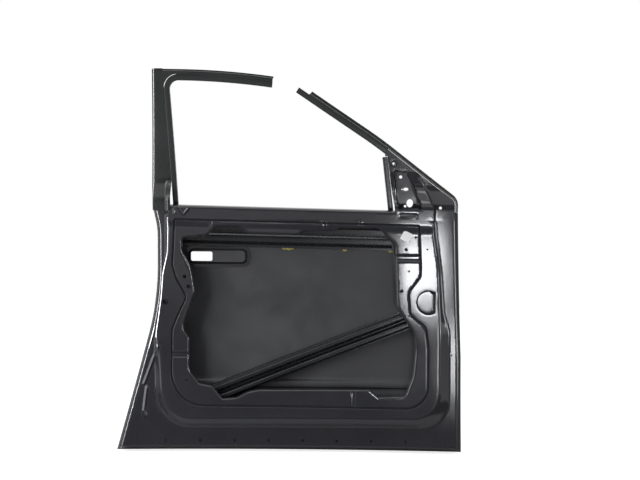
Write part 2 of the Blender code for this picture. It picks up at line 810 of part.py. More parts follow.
def foot_share(x, z):
    """1 at the frame's feet on the inner panel and 0 above them, smoothly between."""
    share = min(1.0, max(0.0, (belt(x) + FRAME_SHOULDER + FRAME_BLEND - z) / FRAME_BLEND))
    return share * share * (3 - 2 * share)


def frame_depth(x, z, band=None):
    """Depth of the frame's face, which sinks on to the inner panel's land or band at its foot."""
    band = band_share(x) if band is None else band
    foot = LAND_DEPTH + (BELT_BAND_DEPTH - LAND_DEPTH) * band + ON_PANEL
    return FRAME_DEPTH + (foot - FRAME_DEPTH) * foot_share(x, z)


def header_drop(x):
    return max(0.0, x - HEADER_FLAT) ** 2 / (2 * HEADER_RADIUS)


def header_edge():
    steps = 6
    xs = [FRAME_REAR_TOP + (HEADER_CUT - FRAME_REAR_TOP) * k / steps for k in range(steps + 1)]
    return [Vector((x, FRAME_TOP - header_drop(x))) for x in xs]


def window_rear_x(z):
    """x of the window's rear side, which goes on down inside the door."""
    top = FRAME_TOP - HEADER_WIDTH
    return WINDOW_REAR_BELT + (WINDOW_REAR_TOP - WINDOW_REAR_BELT) * (z - BELT_REAR) / (top - BELT_REAR)


def window_line():
    """The window's rear side, its upper corner and its top, up to the header's cut."""
    top = FRAME_TOP - HEADER_WIDTH
    corner = (WINDOW_REAR_TOP, top, WINDOW_CORNER_RADIUS)
    edge = offset(header_edge(), HEADER_WIDTH)
    head = [(p.x, p.y, 0) for p in edge if p.x > WINDOW_REAR_TOP + 0.05]
    foot = [(window_rear_x(REAR_CHANNEL_FOOT), REAR_CHANNEL_FOOT, 0)]
    return divided(rounded(foot + [corner] + head, closed=False), closed=False)


def frame_upright():
    """Rear post of the frame: flange, wall and a face that widens towards its foot on the belt band."""
    steps = 12
    low = belt(REAR_TOP)
    mitre = FRAME_TOP - HEADER_WIDTH + RUN_OFFSET
    flange = FRAME_TOP - FRAME_FLANGE
    ends = (FRAME_TOP, flange, flange, flange - FRAME_WALL)
    ends += (mitre + 0.006, mitre + 0.003, mitre)
    lines = [[] for end in ends]
    for k in range(steps + 1):
        rise = ((k - 1) / (steps - 1)) ** 1.3 if k else 0
        z = low + FRAME_SHOULDER + (FRAME_TOP - low) * rise if k else low + 2 * GAP
        edge = REAR_TOP + (FRAME_REAR_TOP - REAR_TOP) * (z - low) / (FRAME_TOP - low)
        deep = z if k else low - FRAME_OVERLAP
        wall = edge + FRAME_FLANGE
        foot = (wall + WALL_LEAN, z, FLANGE_DEPTH + WALL_FOOT)
        spots = [(edge, z, FLANGE_DEPTH), (wall, z, FLANGE_DEPTH), foot]
        last = window_rear_x(z) - RUN_OFFSET
        crease = last + LAND_REAR - CREASE_LAP - (window_rear_x(low) - RUN_OFFSET)
        step = crease + (BAND_REAR - LAND_REAR) * 0.9
        face = ((wall + FRAME_WALL, 0), (crease, 0), (step, 1), (last, 1))
        spots += [(x, deep, frame_depth(edge, deep, band)) for x, band in face]
        for line, spot, end in zip(lines, spots, ends):
            line.append(spot if k < steps else (spot[0], end - MITRE_GAP, spot[2]))
    return strip("frame_upright", lines, FRAME_SHEET)


def frame_header():
    """Top of the frame, up to its square cut end."""
    wall = FRAME_FLANGE + FRAME_WALL
    section = ((0, FLANGE_DEPTH), (FRAME_FLANGE, FLANGE_DEPTH), (wall, FRAME_DEPTH))
    lines = along(header_edge(), section + ((HEADER_WIDTH - RUN_OFFSET, FRAME_DEPTH),))
    starts = (0, FRAME_FLANGE, wall, window_rear_x(FRAME_TOP - HEADER_WIDTH) - RUN_OFFSET - FRAME_REAR_TOP)
    for start, line in zip(starts, lines):
        line[0] = (FRAME_REAR_TOP + start + MITRE_GAP, line[0][1], line[0][2])
    return strip("frame_header", lines, FRAME_SHEET)


def run_section():
    """U section that opens towards the window, with a turned-back lip on its cabin side."""
    inner, outer = CHANNEL_INNER_DEPTH, CHANNEL_OUTER_DEPTH
    return ((0, outer), (-CHANNEL_WIDTH, outer), (-CHANNEL_WIDTH, inner), (0, inner), (0, inner - 0.004))


def glass_runs():
    strip("glass_run_rear", along(window_line(), run_section()), FRAME_SHEET)
    path = pillar_edge()
    start = path[0] + (path[0] - path[1]).normalized() * CHANNEL_TAIL
    path = [start] + path
    last = run_end(path)
    cut = [p for p in path if p.x < last.x - 0.01] + [last]
    shifted = offset(cut, PILLAR_WIDTH)
    strip("glass_run_front", along(shifted, run_section()), FRAME_SHEET)
    guide = [Vector(GUIDE_TOP), Vector((GUIDE_BELT, belt(GUIDE_BELT)))]
    slope = (guide[1] - guide[0]) / (guide[1].y - guide[0].y)
    guide.append(guide[1] + slope * (GUIDE_FOOT - guide[1].y))
    strip("glass_guide_front", along(divided(guide, closed=False), run_section()), FRAME_SHEET)


def pillar_edge():
    """Outer edge of the sloping front rail, from its cut down to the belt."""
    foot = belt(DOOR_LENGTH)
    corner = (front_edge(foot), foot + PILLAR_FOOT_RISE, SHOULDER_RADIUS)
    end = (front_edge(foot), foot + 2 * GAP, 0)
    corners = [(*PILLAR_CUT, 0), (*PILLAR_MIDDLE, PILLAR_BEND_RADIUS), corner, end]
    return divided(rounded(corners, closed=False), closed=False)


def run_end(path):
    """Place on the rail's edge where the front glass run stops and the mirror triangle begins."""
    reach = GUIDE_TOP[0] + RUN_OFFSET + 0.010
    for a, b in zip(path, path[1:]):
        if a.x <= reach < b.x:
            return a.lerp(b, (reach - a.x) / (b.x - a.x))
    return path[-1]


def frame_pillar():
    """The sloping front rail. Its face sinks on to the belt band at its foot, like the upright's, and is cut
    on a slant there to stay clear of the front jamb's flat face."""
    edge = pillar_edge()
    foot, top = PILLAR_FLANGE + WALL_LEAN, PILLAR_FLANGE + PILLAR_WALL
    section = (0, PILLAR_FLANGE, foot, top, PILLAR_WIDTH - RUN_OFFSET)
    lines = []
    for i, distance in enumerate(section):
        line = offset(edge, distance)
        if i > 2:
            lap = PILLAR_OUTER_LAP if i == 3 else FRAME_OVERLAP
            line[-1] = Vector((line[-1].x, line[-1].y - lap))
            lines.append([(p.x, p.y, frame_depth(p.x, p.y)) for p in line])
        else:
            lines.append([(p.x, p.y, FLANGE_DEPTH + (WALL_FOOT if i == 2 else 0)) for p in line])
    return strip("frame_pillar", lines, FRAME_SHEET)


def frame_gusset():
    """Corner plate over the mitre, with its inner edge along the glass run's corner."""
    clear = RUN_OFFSET + 0.0012
    inner = [p for p in offset(window_line(), -clear) if p.y > GUSSET_FOOT and p.x < GUSSET_END]
    wall = FRAME_FLANGE + FRAME_WALL + 0.002
    left, top = FRAME_REAR_TOP + wall, FRAME_TOP - wall
    end = [Vector((GUSSET_END, top - header_drop(GUSSET_END)))]
    end += [Vector((HEADER_FLAT, top)), Vector((left, top))]
    outline = divided([Vector((left + 0.001, GUSSET_FOOT))] + inner + end, step=0.025)
    depth = FRAME_DEPTH + FRAME_SHEET + 2 * GAP
    sheet = Sheet(outline, depth)
    sheet.field(outline, depth)
    sheet.fill(0.025)
    return finished("frame_gusset", sheet.bmesh(), thickness=FRAME_SHEET)


SEAT_CORNERS = [
    (-0.213, 0.769, 0.007),
    (-0.136, 0.768, 0.007),
    (-0.139, 0.793, 0.060),
    (-0.154, 0.842, 0.080),
    (-0.183, 0.893, 0.010),
    (-0.225, 0.899, 0.008),
]
RIB_CORNERS = [
    (-0.212, 0.742, 0.006),
    (-0.150, 0.741, 0.006),
    (-0.149, 0.758, 0.006),
    (-0.212, 0.759, 0.006),
]
FLAG_HOLES = [
    (-0.201, 0.874, 0.0050),
    (-0.196, 0.835, 0.0022),
    (-0.185, 0.782, 0.0040),
]
FLAG_SLOTS = [(-0.184, 0.8355, 0.008, 0.005), (-0.1705, 0.7915, 0.010, 0.013)]
FLAG_FACE_HOLE = (-0.0770, 0.776, 0.0045)
FLAG_BOSS = (-0.2255, 0.915)


FLAG_CREASE = [
    (-0.0905, 0.7350),
    (-0.0905, 0.7690),
    (-0.1010, 0.7920),
    (-0.1140, 0.8320),
    (-0.1300, 0.8600),
    (-0.1440, 0.8740),
]


def crease_x(z):
    """x of the crease that carries the panel's step on up into the mirror triangle."""
    points = [(DOOR_LENGTH + x, height) for x, height in FLAG_CREASE]
    for (x, low), (far, high) in zip(points, points[1:]):
        if z < high:
            return x + (far - x) * max(0.0, z - low) / (high - low)
    return points[-1][0]


def flag_depth(x, z):
    band = min(1.0, max(0.0, (crease_x(z) - x) / CREASE_WIDTH))
    fade = min(1.0, max(0.0, (FLAG_CREASE[-1][1] + 0.012 - z) / 0.030))
    return frame_depth(x, z, band) + CREASE_RISE * band * fade * (1 - foot_share(x, z))


def ellipse(x, z, across, up, sides=10):
    turns = [2 * math.pi * k / sides for k in range(sides)]
    return [Vector((x + across * math.cos(t), z + up * math.sin(t))) for t in turns]


def guide_x(z):
    """x of the mirror triangle's rear edge, just clear of the glass guide."""
    slope = (GUIDE_BELT - GUIDE_TOP[0]) / (GUIDE_TOP[1] - belt(GUIDE_BELT))
    return GUIDE_TOP[0] + (GUIDE_TOP[1] - z) * slope + RUN_OFFSET + 2 * GAP


def flag_outline():
    """Outline of the mirror triangle: under the rail, down the front, along the belt, up the guide."""
    path = pillar_edge()
    last = run_end(path)
    rim = offset([last] + [p for p in path if p.x > last.x + 0.004], PILLAR_WIDTH - RUN_OFFSET + 3 * GAP)
    foot = belt(DOOR_LENGTH) - FLAG_FOOT_DROP
    run = (rim[1] - rim[0]).normalized()
    corner = rim[0] + Vector((run.y, -run.x)) * CHANNEL_WIDTH + run * GAP
    shelf = GUIDE_TOP[1] + CHANNEL_WIDTH * 0.12 + 4 * GAP
    front = [Vector((rim[-1].x, belt(DOOR_LENGTH))), Vector((rim[-1].x, foot))]
    crease = crease_x(foot)
    middle = (front[1].x + crease) / 2
    xs = (middle, crease, crease - CREASE_WIDTH, crease - FLAG_SILL_REACH * 0.6, crease - FLAG_SILL_REACH)
    sill = [Vector((x, foot)) for x in xs]
    low = belt(GUIDE_BELT) + FRAME_SHOULDER
    heights = (foot, low) + tuple(low + (shelf - low) * k for k in (0.16, 0.30, 0.49, 1))
    rear = [Vector((guide_x(z), z)) for z in heights]
    rear += [Vector((corner.x + 0.001, shelf)), corner]
    return [rim[0] + run * GAP] + rim[1:-1] + front + sill + rear


def mirror_panel():
    """Mirror triangle between the rail, the guide and the belt, with a sunk seat for the mirror."""
    outline = flag_outline()
    sheet = Sheet(outline, flag_depth)
    sheet.field(outline, flag_depth)
    foot = belt(DOOR_LENGTH) - FLAG_FOOT_DROP
    for shift in (0, CREASE_WIDTH):
        heights = [foot] + [z for x, z in FLAG_CREASE[1:]]
        line = [Vector((crease_x(z) - shift, z)) for z in heights]
        sheet.loop(line, flag_depth, closed=False)
    seat = rounded(resolve(SEAT_CORNERS))
    sheet.loop(seat, flag_depth)
    floor = offset(seat, -SEAT_DRAFT, closed=True)
    sheet.loop(floor, SEAT_DEPTH)
    sheet.field(floor, SEAT_DEPTH)
    rib = rounded(resolve(RIB_CORNERS))
    sheet.loop(rib, flag_depth)
    sheet.loop(offset(rib, -RIB_HEIGHT * 0.6, closed=True), lambda x, z: flag_depth(x, z) + RIB_HEIGHT)
    for x, z, radius in resolve(FLAG_HOLES):
        sheet.hole(circle(x, z, radius), SEAT_DEPTH)
    for x, z, across_half, up_half in FLAG_SLOTS:
        sheet.hole(ellipse(DOOR_LENGTH + x, z, across_half, up_half), SEAT_DEPTH)
    sheet.hole(circle(DOOR_LENGTH + FLAG_FACE_HOLE[0], *FLAG_FACE_HOLE[1:]), flag_depth)
    x, z = DOOR_LENGTH + FLAG_BOSS[0], FLAG_BOSS[1]
    sheet.loop(circle(x, z, 0.0100, 12), flag_depth)
    sheet.loop(circle(x, z, 0.0075, 12), lambda x, z: flag_depth(x, z) + RIB_HEIGHT)
    sheet.hole(circle(x, z, 0.0035, 8), lambda x, z: flag_depth(x, z) + RIB_HEIGHT)
    sheet.fill(0.028)
    return finished("mirror_panel", sheet.bmesh(), thickness=FRAME_SHEET)


def belt_rails():
    """The outer rail that stiffens the skin's top edge, and the inner one behind the belt band."""
    rear, front = RAIL_REAR, DOOR_LENGTH - RAIL_FRONT_SETBACK
    xs = [rear + (front - rear) * k / 16 for k in range(17)]
    outer = [[(x, belt(x) - drop, depth) for x in xs] for drop, depth in OUTER_RAIL_SECTION]
    strip("belt_rail_outer", outer, BRACE_SHEET)
    behind = BELT_BAND_DEPTH - PANEL_SHEET / 2 - GAP - BRACE_SHEET / 2
    rear, front = BAND_REAR + RAIL_SETBACK, BAND_FRONT - RAIL_SETBACK
    xs = [rear + (front - rear) * k / 16 for k in range(17)]
    inner = [[(x, belt(x) - drop, behind - depth) for x in xs] for drop, depth in INNER_RAIL_SECTION]
    strip("belt_rail_inner", inner, BRACE_SHEET)


def beam_path():
    return [Vector(BEAM_REAR), Vector((DOOR_LENGTH - BEAM_FRONT_SETBACK, BEAM_FRONT_HEIGHT))]


def side_beam():
    section = [(-across, depth) for across, depth in BEAM_HALF_SECTION]
    section += [(across, depth) for across, depth in reversed(BEAM_HALF_SECTION)]
    return strip("side_beam", along(divided(beam_path(), closed=False), section), BEAM_SHEET)


def beam_bracket(name, end, other):
    """Joggled plate from the beam's crown to the back of the inner panel's land."""
    away = (end - other).normalized()
    side = Vector((away.y, -away.x))
    on_beam = BEAM_HALF_SECTION[2][1] + BEAM_SHEET / 2 + GAP + BRACE_SHEET / 2
    on_land = LAND_DEPTH - PANEL_SHEET / 2 - GAP - BRACE_SHEET / 2
    lines = []
    bends = ((-BRACKET_LAP, on_beam), (-0.001, on_beam), (0.010, on_land), (BRACKET_REACH, on_land))
    for reach, depth in bends:
        middle = end + away * reach
        lines.append([(*(middle + side * BRACKET_HALF_WIDTH * k), depth) for k in (-1, 0, 1)])
    return strip(name, lines, BRACE_SHEET)


def jamb_x(z, depth, front=True):
    """x of the middle of the jamb wall's sheet."""
    if front:
        return front_jamb_x(z, depth)
    share = (depth - FLANGE_DEPTH) / (LAND_DEPTH - FLANGE_DEPTH)
    return rear_edge(z) + JAMB_FOOT + (JAMB_TOP - JAMB_FOOT) * share


def jamb_plate(name, middle, height, sheet_thickness, reach, front=True):
    """Angle plate behind the jamb wall and the land."""
    behind = PANEL_SHEET / 2 + GAP + sheet_thickness / 2
    sign = -1 if front else 1
    deep = LAND_DEPTH - behind - GAP
    lines = []
    for depth, back in ((0.007, 0), (deep, 0), (deep, reach)):
        line = []
        steps = round(height / 0.025)
        for k in range(steps + 1):
            z = middle + height * (k / steps - 0.5)
            line.append((jamb_x(z, depth, front) + sign * (behind + back), z, depth))
        lines.append(line)
    return strip(name, lines, sheet_thickness)


def tube(name, start, end, radius, hole, sides=12, finish="black_ecoat"):
    """A round nut between two points, with a hole right through when hole is not 0."""
    axis = (end - start).normalized()
    side = axis.orthogonal().normalized()
    other = axis.cross(side)
    bm = bmesh.new()
    rings = []
    for middle in (start, end):
        for r in ((radius, hole) if hole else (radius,)):
            turns = [2 * math.pi * k / sides for k in range(sides)]
            spots = [middle + (side * math.cos(t) + other * math.sin(t)) * r for t in turns]
            rings.append([bm.verts.new(p) for p in spots])
    if hole:
        pairs = ((0, 2), (2, 3), (3, 1), (1, 0))
    else:
        pairs = ((0, 1),)
        bm.faces.new(rings[0])
        bm.faces.new(rings[1][::-1])
    for a, b in pairs:
        for k in range(sides):
            n = (k + 1) % sides
            bm.faces.new((rings[a][k], rings[a][n], rings[b][n], rings[b][k]))
    return finished(name, bm, finish)


def jamb_axis(z, depth, front=True):
    """Direction into the door, square to the jamb wall."""
    up = place(jamb_x(z + 0.02, depth, front), z + 0.02, depth)
    up -= place(jamb_x(z - 0.02, depth, front), z - 0.02, depth)
    back = place(jamb_x(z, depth + 0.01, front), z, depth + 0.01) - place(jamb_x(z, depth, front), z, depth)
    axis = back.cross(up).normalized()
    return axis if front else -axis


def hinge_nuts(prefix, middle):
    for i, step in enumerate((-1, 1)):
        z = middle + step * HINGE_NUT_SPACING / 2
        depth = LAND_DEPTH / 2
        axis = jamb_axis(z, depth)
        start = place(jamb_x(z, depth), z, depth) + axis * (PANEL_SHEET / 2 + HINGE_SHEET + 3 * GAP)
        end = start + axis * HINGE_NUT_HEIGHT
        tube(f"{prefix}_nut_{i + 1}", start, end, HINGE_NUT_RADIUS, HINGE_NUT_HOLE)


def jamb_cutter():
    """Bolt holes, check strap slot, latch mouth and latch screw holes, all square to the jamb walls."""
    middle = LAND_DEPTH / 2
    cuts = []
    for hinge in (UPPER_HINGE_HEIGHT, LOWER_HINGE_HEIGHT):
        for step in (-1, 1):
            cuts.append((hinge + step * HINGE_NUT_SPACING / 2, middle, HINGE_NUT_HOLE, HINGE_NUT_HOLE, True))
    cuts.append((CHECK_HEIGHT, middle, *CHECK_SLOT, True))
    cuts.append((LATCH_HEIGHT, middle, *LATCH_MOUTH, False))
    for along_z, depth in LATCH_SCREWS:
        cuts.append((LATCH_HEIGHT + along_z, depth, LATCH_SCREW_HOLE, LATCH_SCREW_HOLE, False))
    bm = bmesh.new()
    for z, depth, across, up, front in cuts:
        axis = jamb_axis(z, depth, front)
        start = place(jamb_x(z, depth, front), z, depth) - axis * 0.004
        side = axis.cross(Vector((0, 0, 1))).normalized()
        above = side.cross(axis).normalized()
        rings = []
        for reach in (0, 0.011):
            turns = [2 * math.pi * (k + 0.5) / HOLE_SIDES for k in range(HOLE_SIDES)]
            spots = [side * across * math.cos(t) + above * up * math.sin(t) for t in turns]
            rings.append([bm.verts.new(start + axis * reach + spot) for spot in spots])
        bm.faces.new(rings[0])
        bm.faces.new(rings[1][::-1])
        for k in range(HOLE_SIDES):
            n = (k + 1) % HOLE_SIDES
            bm.faces.new((rings[0][k], rings[0][n], rings[1][n], rings[1][k]))
    cutter = finished("jamb_cutter", bm)
    cutter.hide_render = True
    cutter.display_type = "WIRE"
    for name in ("inner_panel", "hinge_plate_upper", "hinge_plate_lower", "check_plate", "latch_plate"):
        cut = bpy.data.objects[name].modifiers.new("jamb holes", "BOOLEAN")
        cut.operation = "DIFFERENCE"
        cut.solver = "EXACT"
        cut.object = cutter


def handle_ring():
    """Flat ring that stiffens the skin round the handle pocket."""
    depth = SKIN_SHEET + 2 * GAP + FRAME_SHEET / 2
    sheet = Sheet(divided(handle_loop(-HANDLE_RING_WIDTH)), depth)
    sheet.hole(handle_loop(-0.0020), depth)
    return finished("handle_ring", sheet.bmesh(), thickness=FRAME_SHEET)


def glue_dabs():
    drop = (OUTER_RAIL_SECTION[0][0] + OUTER_RAIL_SECTION[1][0]) / 2
    for i, (x, length) in enumerate(GLUE_DABS):
        low = SKIN_SHEET + 2 * GAP
        high = OUTER_RAIL_SECTION[0][1] - BRACE_SHEET / 2 - GAP
        z = belt(x) - drop
        xs = [x - length / 2, x, x + length / 2]
        lines = [[(a, z + side, (low + high) / 2) for a in xs] for side in (-GLUE_WIDTH / 2, GLUE_WIDTH / 2)]
        strip(f"glue_dab_{i + 1}", lines, high - low, "yellow_adhesive")


def blank_label():
    turn = math.radians(LABEL_TURN)
    middle = Vector((DOOR_LENGTH - LABEL_SETBACK, LABEL_HEIGHT))
    depth = PANEL_DEPTH - INNER_FIELD_DROP + PANEL_SHEET / 2 + GAP + LABEL_THICKNESS / 2
    lines = []
    for up in (-0.5, 0.5):
        line = []
        for right in (-0.5, 0.5):
            x, z = right * LABEL_SIDE, up * LABEL_SIDE
            cos, sin = math.cos(turn), math.sin(turn)
            spot = middle + Vector((x * cos - z * sin, x * sin + z * cos))
            line.append((spot.x, spot.y, depth))
        lines.append(line)
    return strip("blank_label", lines, LABEL_THICKNESS, "white_label")


def main():
    for obj in list(bpy.data.objects):
        bpy.data.objects.remove(obj)
    inner_panel()
    outer_skin()
    frame_upright()
    frame_header()
    frame_pillar()
    frame_gusset()
    glass_runs()
    mirror_panel()
    belt_rails()
    side_beam()
    rear, front = beam_path()
    beam_bracket("beam_bracket_rear", rear, front)
    beam_bracket("beam_bracket_front", front, rear)
    jamb_plate("hinge_plate_upper", UPPER_HINGE_HEIGHT, HINGE_PLATE_HEIGHT, HINGE_SHEET, 0.020)
    jamb_plate("hinge_plate_lower", LOWER_HINGE_HEIGHT, HINGE_PLATE_HEIGHT, HINGE_SHEET, 0.020)
    jamb_plate("check_plate", CHECK_HEIGHT, CHECK_PLATE_HEIGHT, BRACE_SHEET, 0.008)
    jamb_plate("latch_plate", LATCH_HEIGHT, LATCH_PLATE_HEIGHT, BRACE_SHEET, 0.008, front=False)
    hinge_nuts("hinge_upper", UPPER_HINGE_HEIGHT)
    hinge_nuts("hinge_lower", LOWER_HINGE_HEIGHT)
    handle_ring()
    glue_dabs()
    blank_label()
    jamb_cutter()


main()
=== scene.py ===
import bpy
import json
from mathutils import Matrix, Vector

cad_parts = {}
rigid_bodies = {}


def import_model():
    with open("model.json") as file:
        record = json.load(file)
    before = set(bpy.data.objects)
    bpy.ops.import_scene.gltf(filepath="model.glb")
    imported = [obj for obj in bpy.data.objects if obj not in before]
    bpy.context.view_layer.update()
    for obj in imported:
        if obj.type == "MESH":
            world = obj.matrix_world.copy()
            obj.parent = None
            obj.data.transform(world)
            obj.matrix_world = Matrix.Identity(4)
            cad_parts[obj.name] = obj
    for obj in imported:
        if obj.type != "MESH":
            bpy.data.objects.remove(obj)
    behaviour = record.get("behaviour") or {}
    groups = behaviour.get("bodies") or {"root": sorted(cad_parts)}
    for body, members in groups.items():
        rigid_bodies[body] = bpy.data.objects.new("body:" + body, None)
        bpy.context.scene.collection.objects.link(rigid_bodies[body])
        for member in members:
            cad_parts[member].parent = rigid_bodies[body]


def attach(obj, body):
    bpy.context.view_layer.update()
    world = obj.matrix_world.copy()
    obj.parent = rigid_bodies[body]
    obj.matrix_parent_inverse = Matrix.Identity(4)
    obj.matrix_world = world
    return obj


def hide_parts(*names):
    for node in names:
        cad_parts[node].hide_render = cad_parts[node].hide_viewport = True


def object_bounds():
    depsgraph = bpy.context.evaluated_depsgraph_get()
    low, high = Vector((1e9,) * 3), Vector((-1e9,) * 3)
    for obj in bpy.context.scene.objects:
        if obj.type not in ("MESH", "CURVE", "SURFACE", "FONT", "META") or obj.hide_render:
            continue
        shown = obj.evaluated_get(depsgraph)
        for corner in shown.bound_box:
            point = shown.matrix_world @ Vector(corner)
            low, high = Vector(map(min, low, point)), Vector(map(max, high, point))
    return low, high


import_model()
cad_box = [[float(v) for v in corner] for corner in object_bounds()]
import functools
import json
import math

import bmesh
import bpy
import numpy as np
from mathutils import Matrix, Vector
from mathutils.geometry import delaunay_2d_cdt

# Camera, straight in front of the cabin side
CAMERA_PLACE = (-0.430, -3.25, 0.078)
CAMERA_LENS = 57.35
CAMERA_SENSOR = 36
CAMERA_ROLL = 0.5

# Studio: a white backdrop and floor, soft lamps, and black cloths that only show in reflections
LAMP_COLOR = (0.96, 0.97, 1.0)
WORLD_LEVEL = 0.50
FLOOR_LIFT = 0.75
FLOOR_SIDE = 14.0
FLOOR_GAP = 0.0005
DOOR_MIDDLE = (-0.52, 0, 0)
# Lamps as (name, place, target, size, power, whether it lights the door or only shows in its gloss)
LAMPS = (
    ("left_box", (-2.8, -1.6, 0.5), DOOR_MIDDLE, (2.2, 2.4), 40, True),
    ("top_box", (-0.5, -0.9, 2.6), DOOR_MIDDLE, (2.4, 0.6), 14, True),
    ("left_shine", (-2.8, -1.6, 0.5), DOOR_MIDDLE, (2.2, 2.4), 320, False),
    ("rear_left_shine", (-2.9, 1.7, 0.2), DOOR_MIDDLE, (2.0, 2.4), 210, False),
    ("right_shine", (2.0, -0.8, 0.4), DOOR_MIDDLE, (0.4, 1.6), 50, False),
    ("rear_right_shine", (1.9, 1.7, 0.2), DOOR_MIDDLE, (1.0, 2.2), 55, False),
    ("hinge_shine", (-0.1225, -1.5, -0.235), (-0.1225, 0, -0.235), (0.135, 0.065), 1.0, False),
    ("flange_shine", (0.02, -1.5, -0.36), (0.02, 0, -0.36), (0.12, 0.14), 1.0, False),
)
# Cloths in front of the door and on the floor before it, as (name, place, target, size)
FLAGS = (
    ("stage_flag_front", (-0.5, -4.6, 0.4), DOOR_MIDDLE, (5.0, 3.2)),
    ("stage_flag_floor", (-0.5, -0.95, cad_box[0][2] + 0.002), (-0.5, -0.95, 2.0), (3.4, 1.7)),
)

# Overall sizes, in metres
DOOR_LENGTH = 1.096
BELT_FRONT = 0.763
BELT_REAR = 0.783
FRAME_TOP = 1.200
PANEL_DEPTH = 0.082
LAND_DEPTH = 0.050

# Curve of the skin in side view and in plan, which all the sheets follow
CROWN_HEIGHT = 0.420
CROWN_RADIUS_UP = 2.6
CROWN_RADIUS_DOWN = 3.5
CROWN_MIDDLE = 0.560
CROWN_RADIUS_PLAN = 7.0

# Sheets and the joint between them
SKIN_SHEET = 0.0008
PANEL_SHEET = 0.0010
FRAME_SHEET = 0.0012
BRACE_SHEET = 0.0016
GAP = 0.0003
HEM_WIDTH = 0.0085
HEM_GAP = 0.0005

# Depths of the middles of the skin, of the hem flange and of the skin's folded edge
SKIN_MIDDLE = SKIN_SHEET / 2
FLANGE_DEPTH = SKIN_SHEET + HEM_GAP + PANEL_SHEET / 2
RETURN_DEPTH = SKIN_SHEET + 2 * HEM_GAP + PANEL_SHEET + SKIN_SHEET / 2

# Rear and front edges of the lower body
REAR_WAIST = 0.120
REAR_WAIST_HEIGHT = 0.473
REAR_WAIST_RADIUS = 1.300
REAR_SHOULDER_DROP = 0.075
REAR_SHOULDER_RADIUS = 0.250
REAR_TOP = 0.1035
FRONT_TOP_SETBACK = 0.0155
FRONT_BEND_HEIGHT = 0.300

# Walls of the inner panel: plan distance from the door's edge to the foot and the top of the jamb wall
JAMB_FOOT = 0.0145
JAMB_TOP = 0.0170
WALL_EASE = 0.0002

# Ends of the inner panel's land and of its belt band, and how the two meet at the upper corners
LAND_REAR = 0.1565
BAND_REAR = 0.167
LAND_FRONT_SETBACK = 0.093
BAND_FRONT_SETBACK = 0.105
LAND_FRONT = DOOR_LENGTH - LAND_FRONT_SETBACK
BAND_FRONT = DOOR_LENGTH - BAND_FRONT_SETBACK
BELT_BAND_DEPTH = 0.085
CORNER_REACH = 0.0105
CORNER_START = 1.3
CORNER_SPAN = 1.2
BAND_HEIGHT = 0.045
BAND_BLEND = 0.030

# The inner panel's bead, sunk field and turned opening, and the width of the slopes round them
BEAD_DROP = 0.007
INNER_FIELD_DROP = 0.003
OPENING_FLANGE = 0.005
OPENING_FLANGE_DROP = 0.010
LIP_REACH = OPENING_FLANGE + 0.001
DRAFT = 0.004

# Heights and sizes of the openings in the jambs: hinge bolts, door check and latch
UPPER_HINGE_HEIGHT = 0.594
LOWER_HINGE_HEIGHT = 0.220
HINGE_NUT_SPACING = 0.050
HINGE_NUT_HOLE = 0.0042
CHECK_RISE = 0.003
CHECK_HEIGHT = (UPPER_HINGE_HEIGHT + LOWER_HINGE_HEIGHT) / 2 + CHECK_RISE
LATCH_HEIGHT = 0.490
CHECK_SLOT = (0.011, 0.008)
LATCH_MOUTH = (0.009, 0.028)
LATCH_SCREWS = ((0.045, 0.016), (0.045, 0.034), (-0.045, 0.025))
LATCH_SCREW_HOLE = 0.0035
CUT_START = 0.004
CUT_LENGTH = 0.011
AXIS_UP = 0.02
AXIS_IN = 0.01

# Half-moon pocket in the front of the inner panel
POCKET_SETBACK = 0.1115
POCKET_HEIGHT = 0.4775
POCKET_RADIUS = 0.039
POCKET_DROP = 0.022
POCKET_FLAT = 0.55
POCKET_STEPS = 10

# Outer handle pocket in the skin
HANDLE_REAR = 0.2205
HANDLE_FRONT = 0.4045
HANDLE_TOP = 0.640
HANDLE_BOTTOM = 0.594
HANDLE_HOLE_FRONT = 0.3045
HANDLE_RADIUS = 0.014
HANDLE_BOWL_DEPTH = 0.018

# Swage along the foot of the skin
SWAGE_BOTTOM = 0.198
SWAGE_TOP = 0.217
SWAGE_DEPTH = 0.004
SWAGE_END = 0.090

# Window frame
FRAME_REAR_TOP = 0.114
HEADER_FLAT = 0.200
HEADER_RADIUS = 2.3
HEADER_CUT = 0.4915
HEADER_WIDTH = 0.036
FRAME_FLANGE = 0.005
FRAME_WALL = 0.004
FRAME_DEPTH = 0.0274
FRAME_OVERLAP = 0.020
FRAME_SHOULDER = 0.006
FRAME_BLEND = 0.075
WALL_FOOT = 0.008
WALL_LEAN = 0.001
UPRIGHT_STEPS = 60
UPRIGHT_CROWDING = 1.3
MITRE_GAP = 0.0009
CREASE_LAP = 0.002
PILLAR_CUT_SETBACK = 0.484
PILLAR_CUT_RISE = 0.375
PILLAR_CUT = (DOOR_LENGTH - PILLAR_CUT_SETBACK, BELT_FRONT + PILLAR_CUT_RISE)
PILLAR_MIDDLE_SETBACK = 0.265
PILLAR_MIDDLE_RISE = 0.233
PILLAR_MIDDLE = (DOOR_LENGTH - PILLAR_MIDDLE_SETBACK, BELT_FRONT + PILLAR_MIDDLE_RISE)
PILLAR_BEND_RADIUS = 1.5
PILLAR_FOOT_RISE = 0.0435
SHOULDER_RADIUS = 0.085
PILLAR_FLANGE = 0.007
PILLAR_WALL = 0.006
PILLAR_OUTER_LAP = 0.002
PILLAR_WIDTH = 0.032
GUSSET_HEIGHT = 0.105
GUSSET_FOOT = FRAME_TOP - GUSSET_HEIGHT
GUSSET_END = 0.235
GUSSET_CLEAR = 0.0012
GUSSET_INSET = 0.002
GUSSET_STEP = 0.025
GUSSET_PITCH = 0.012

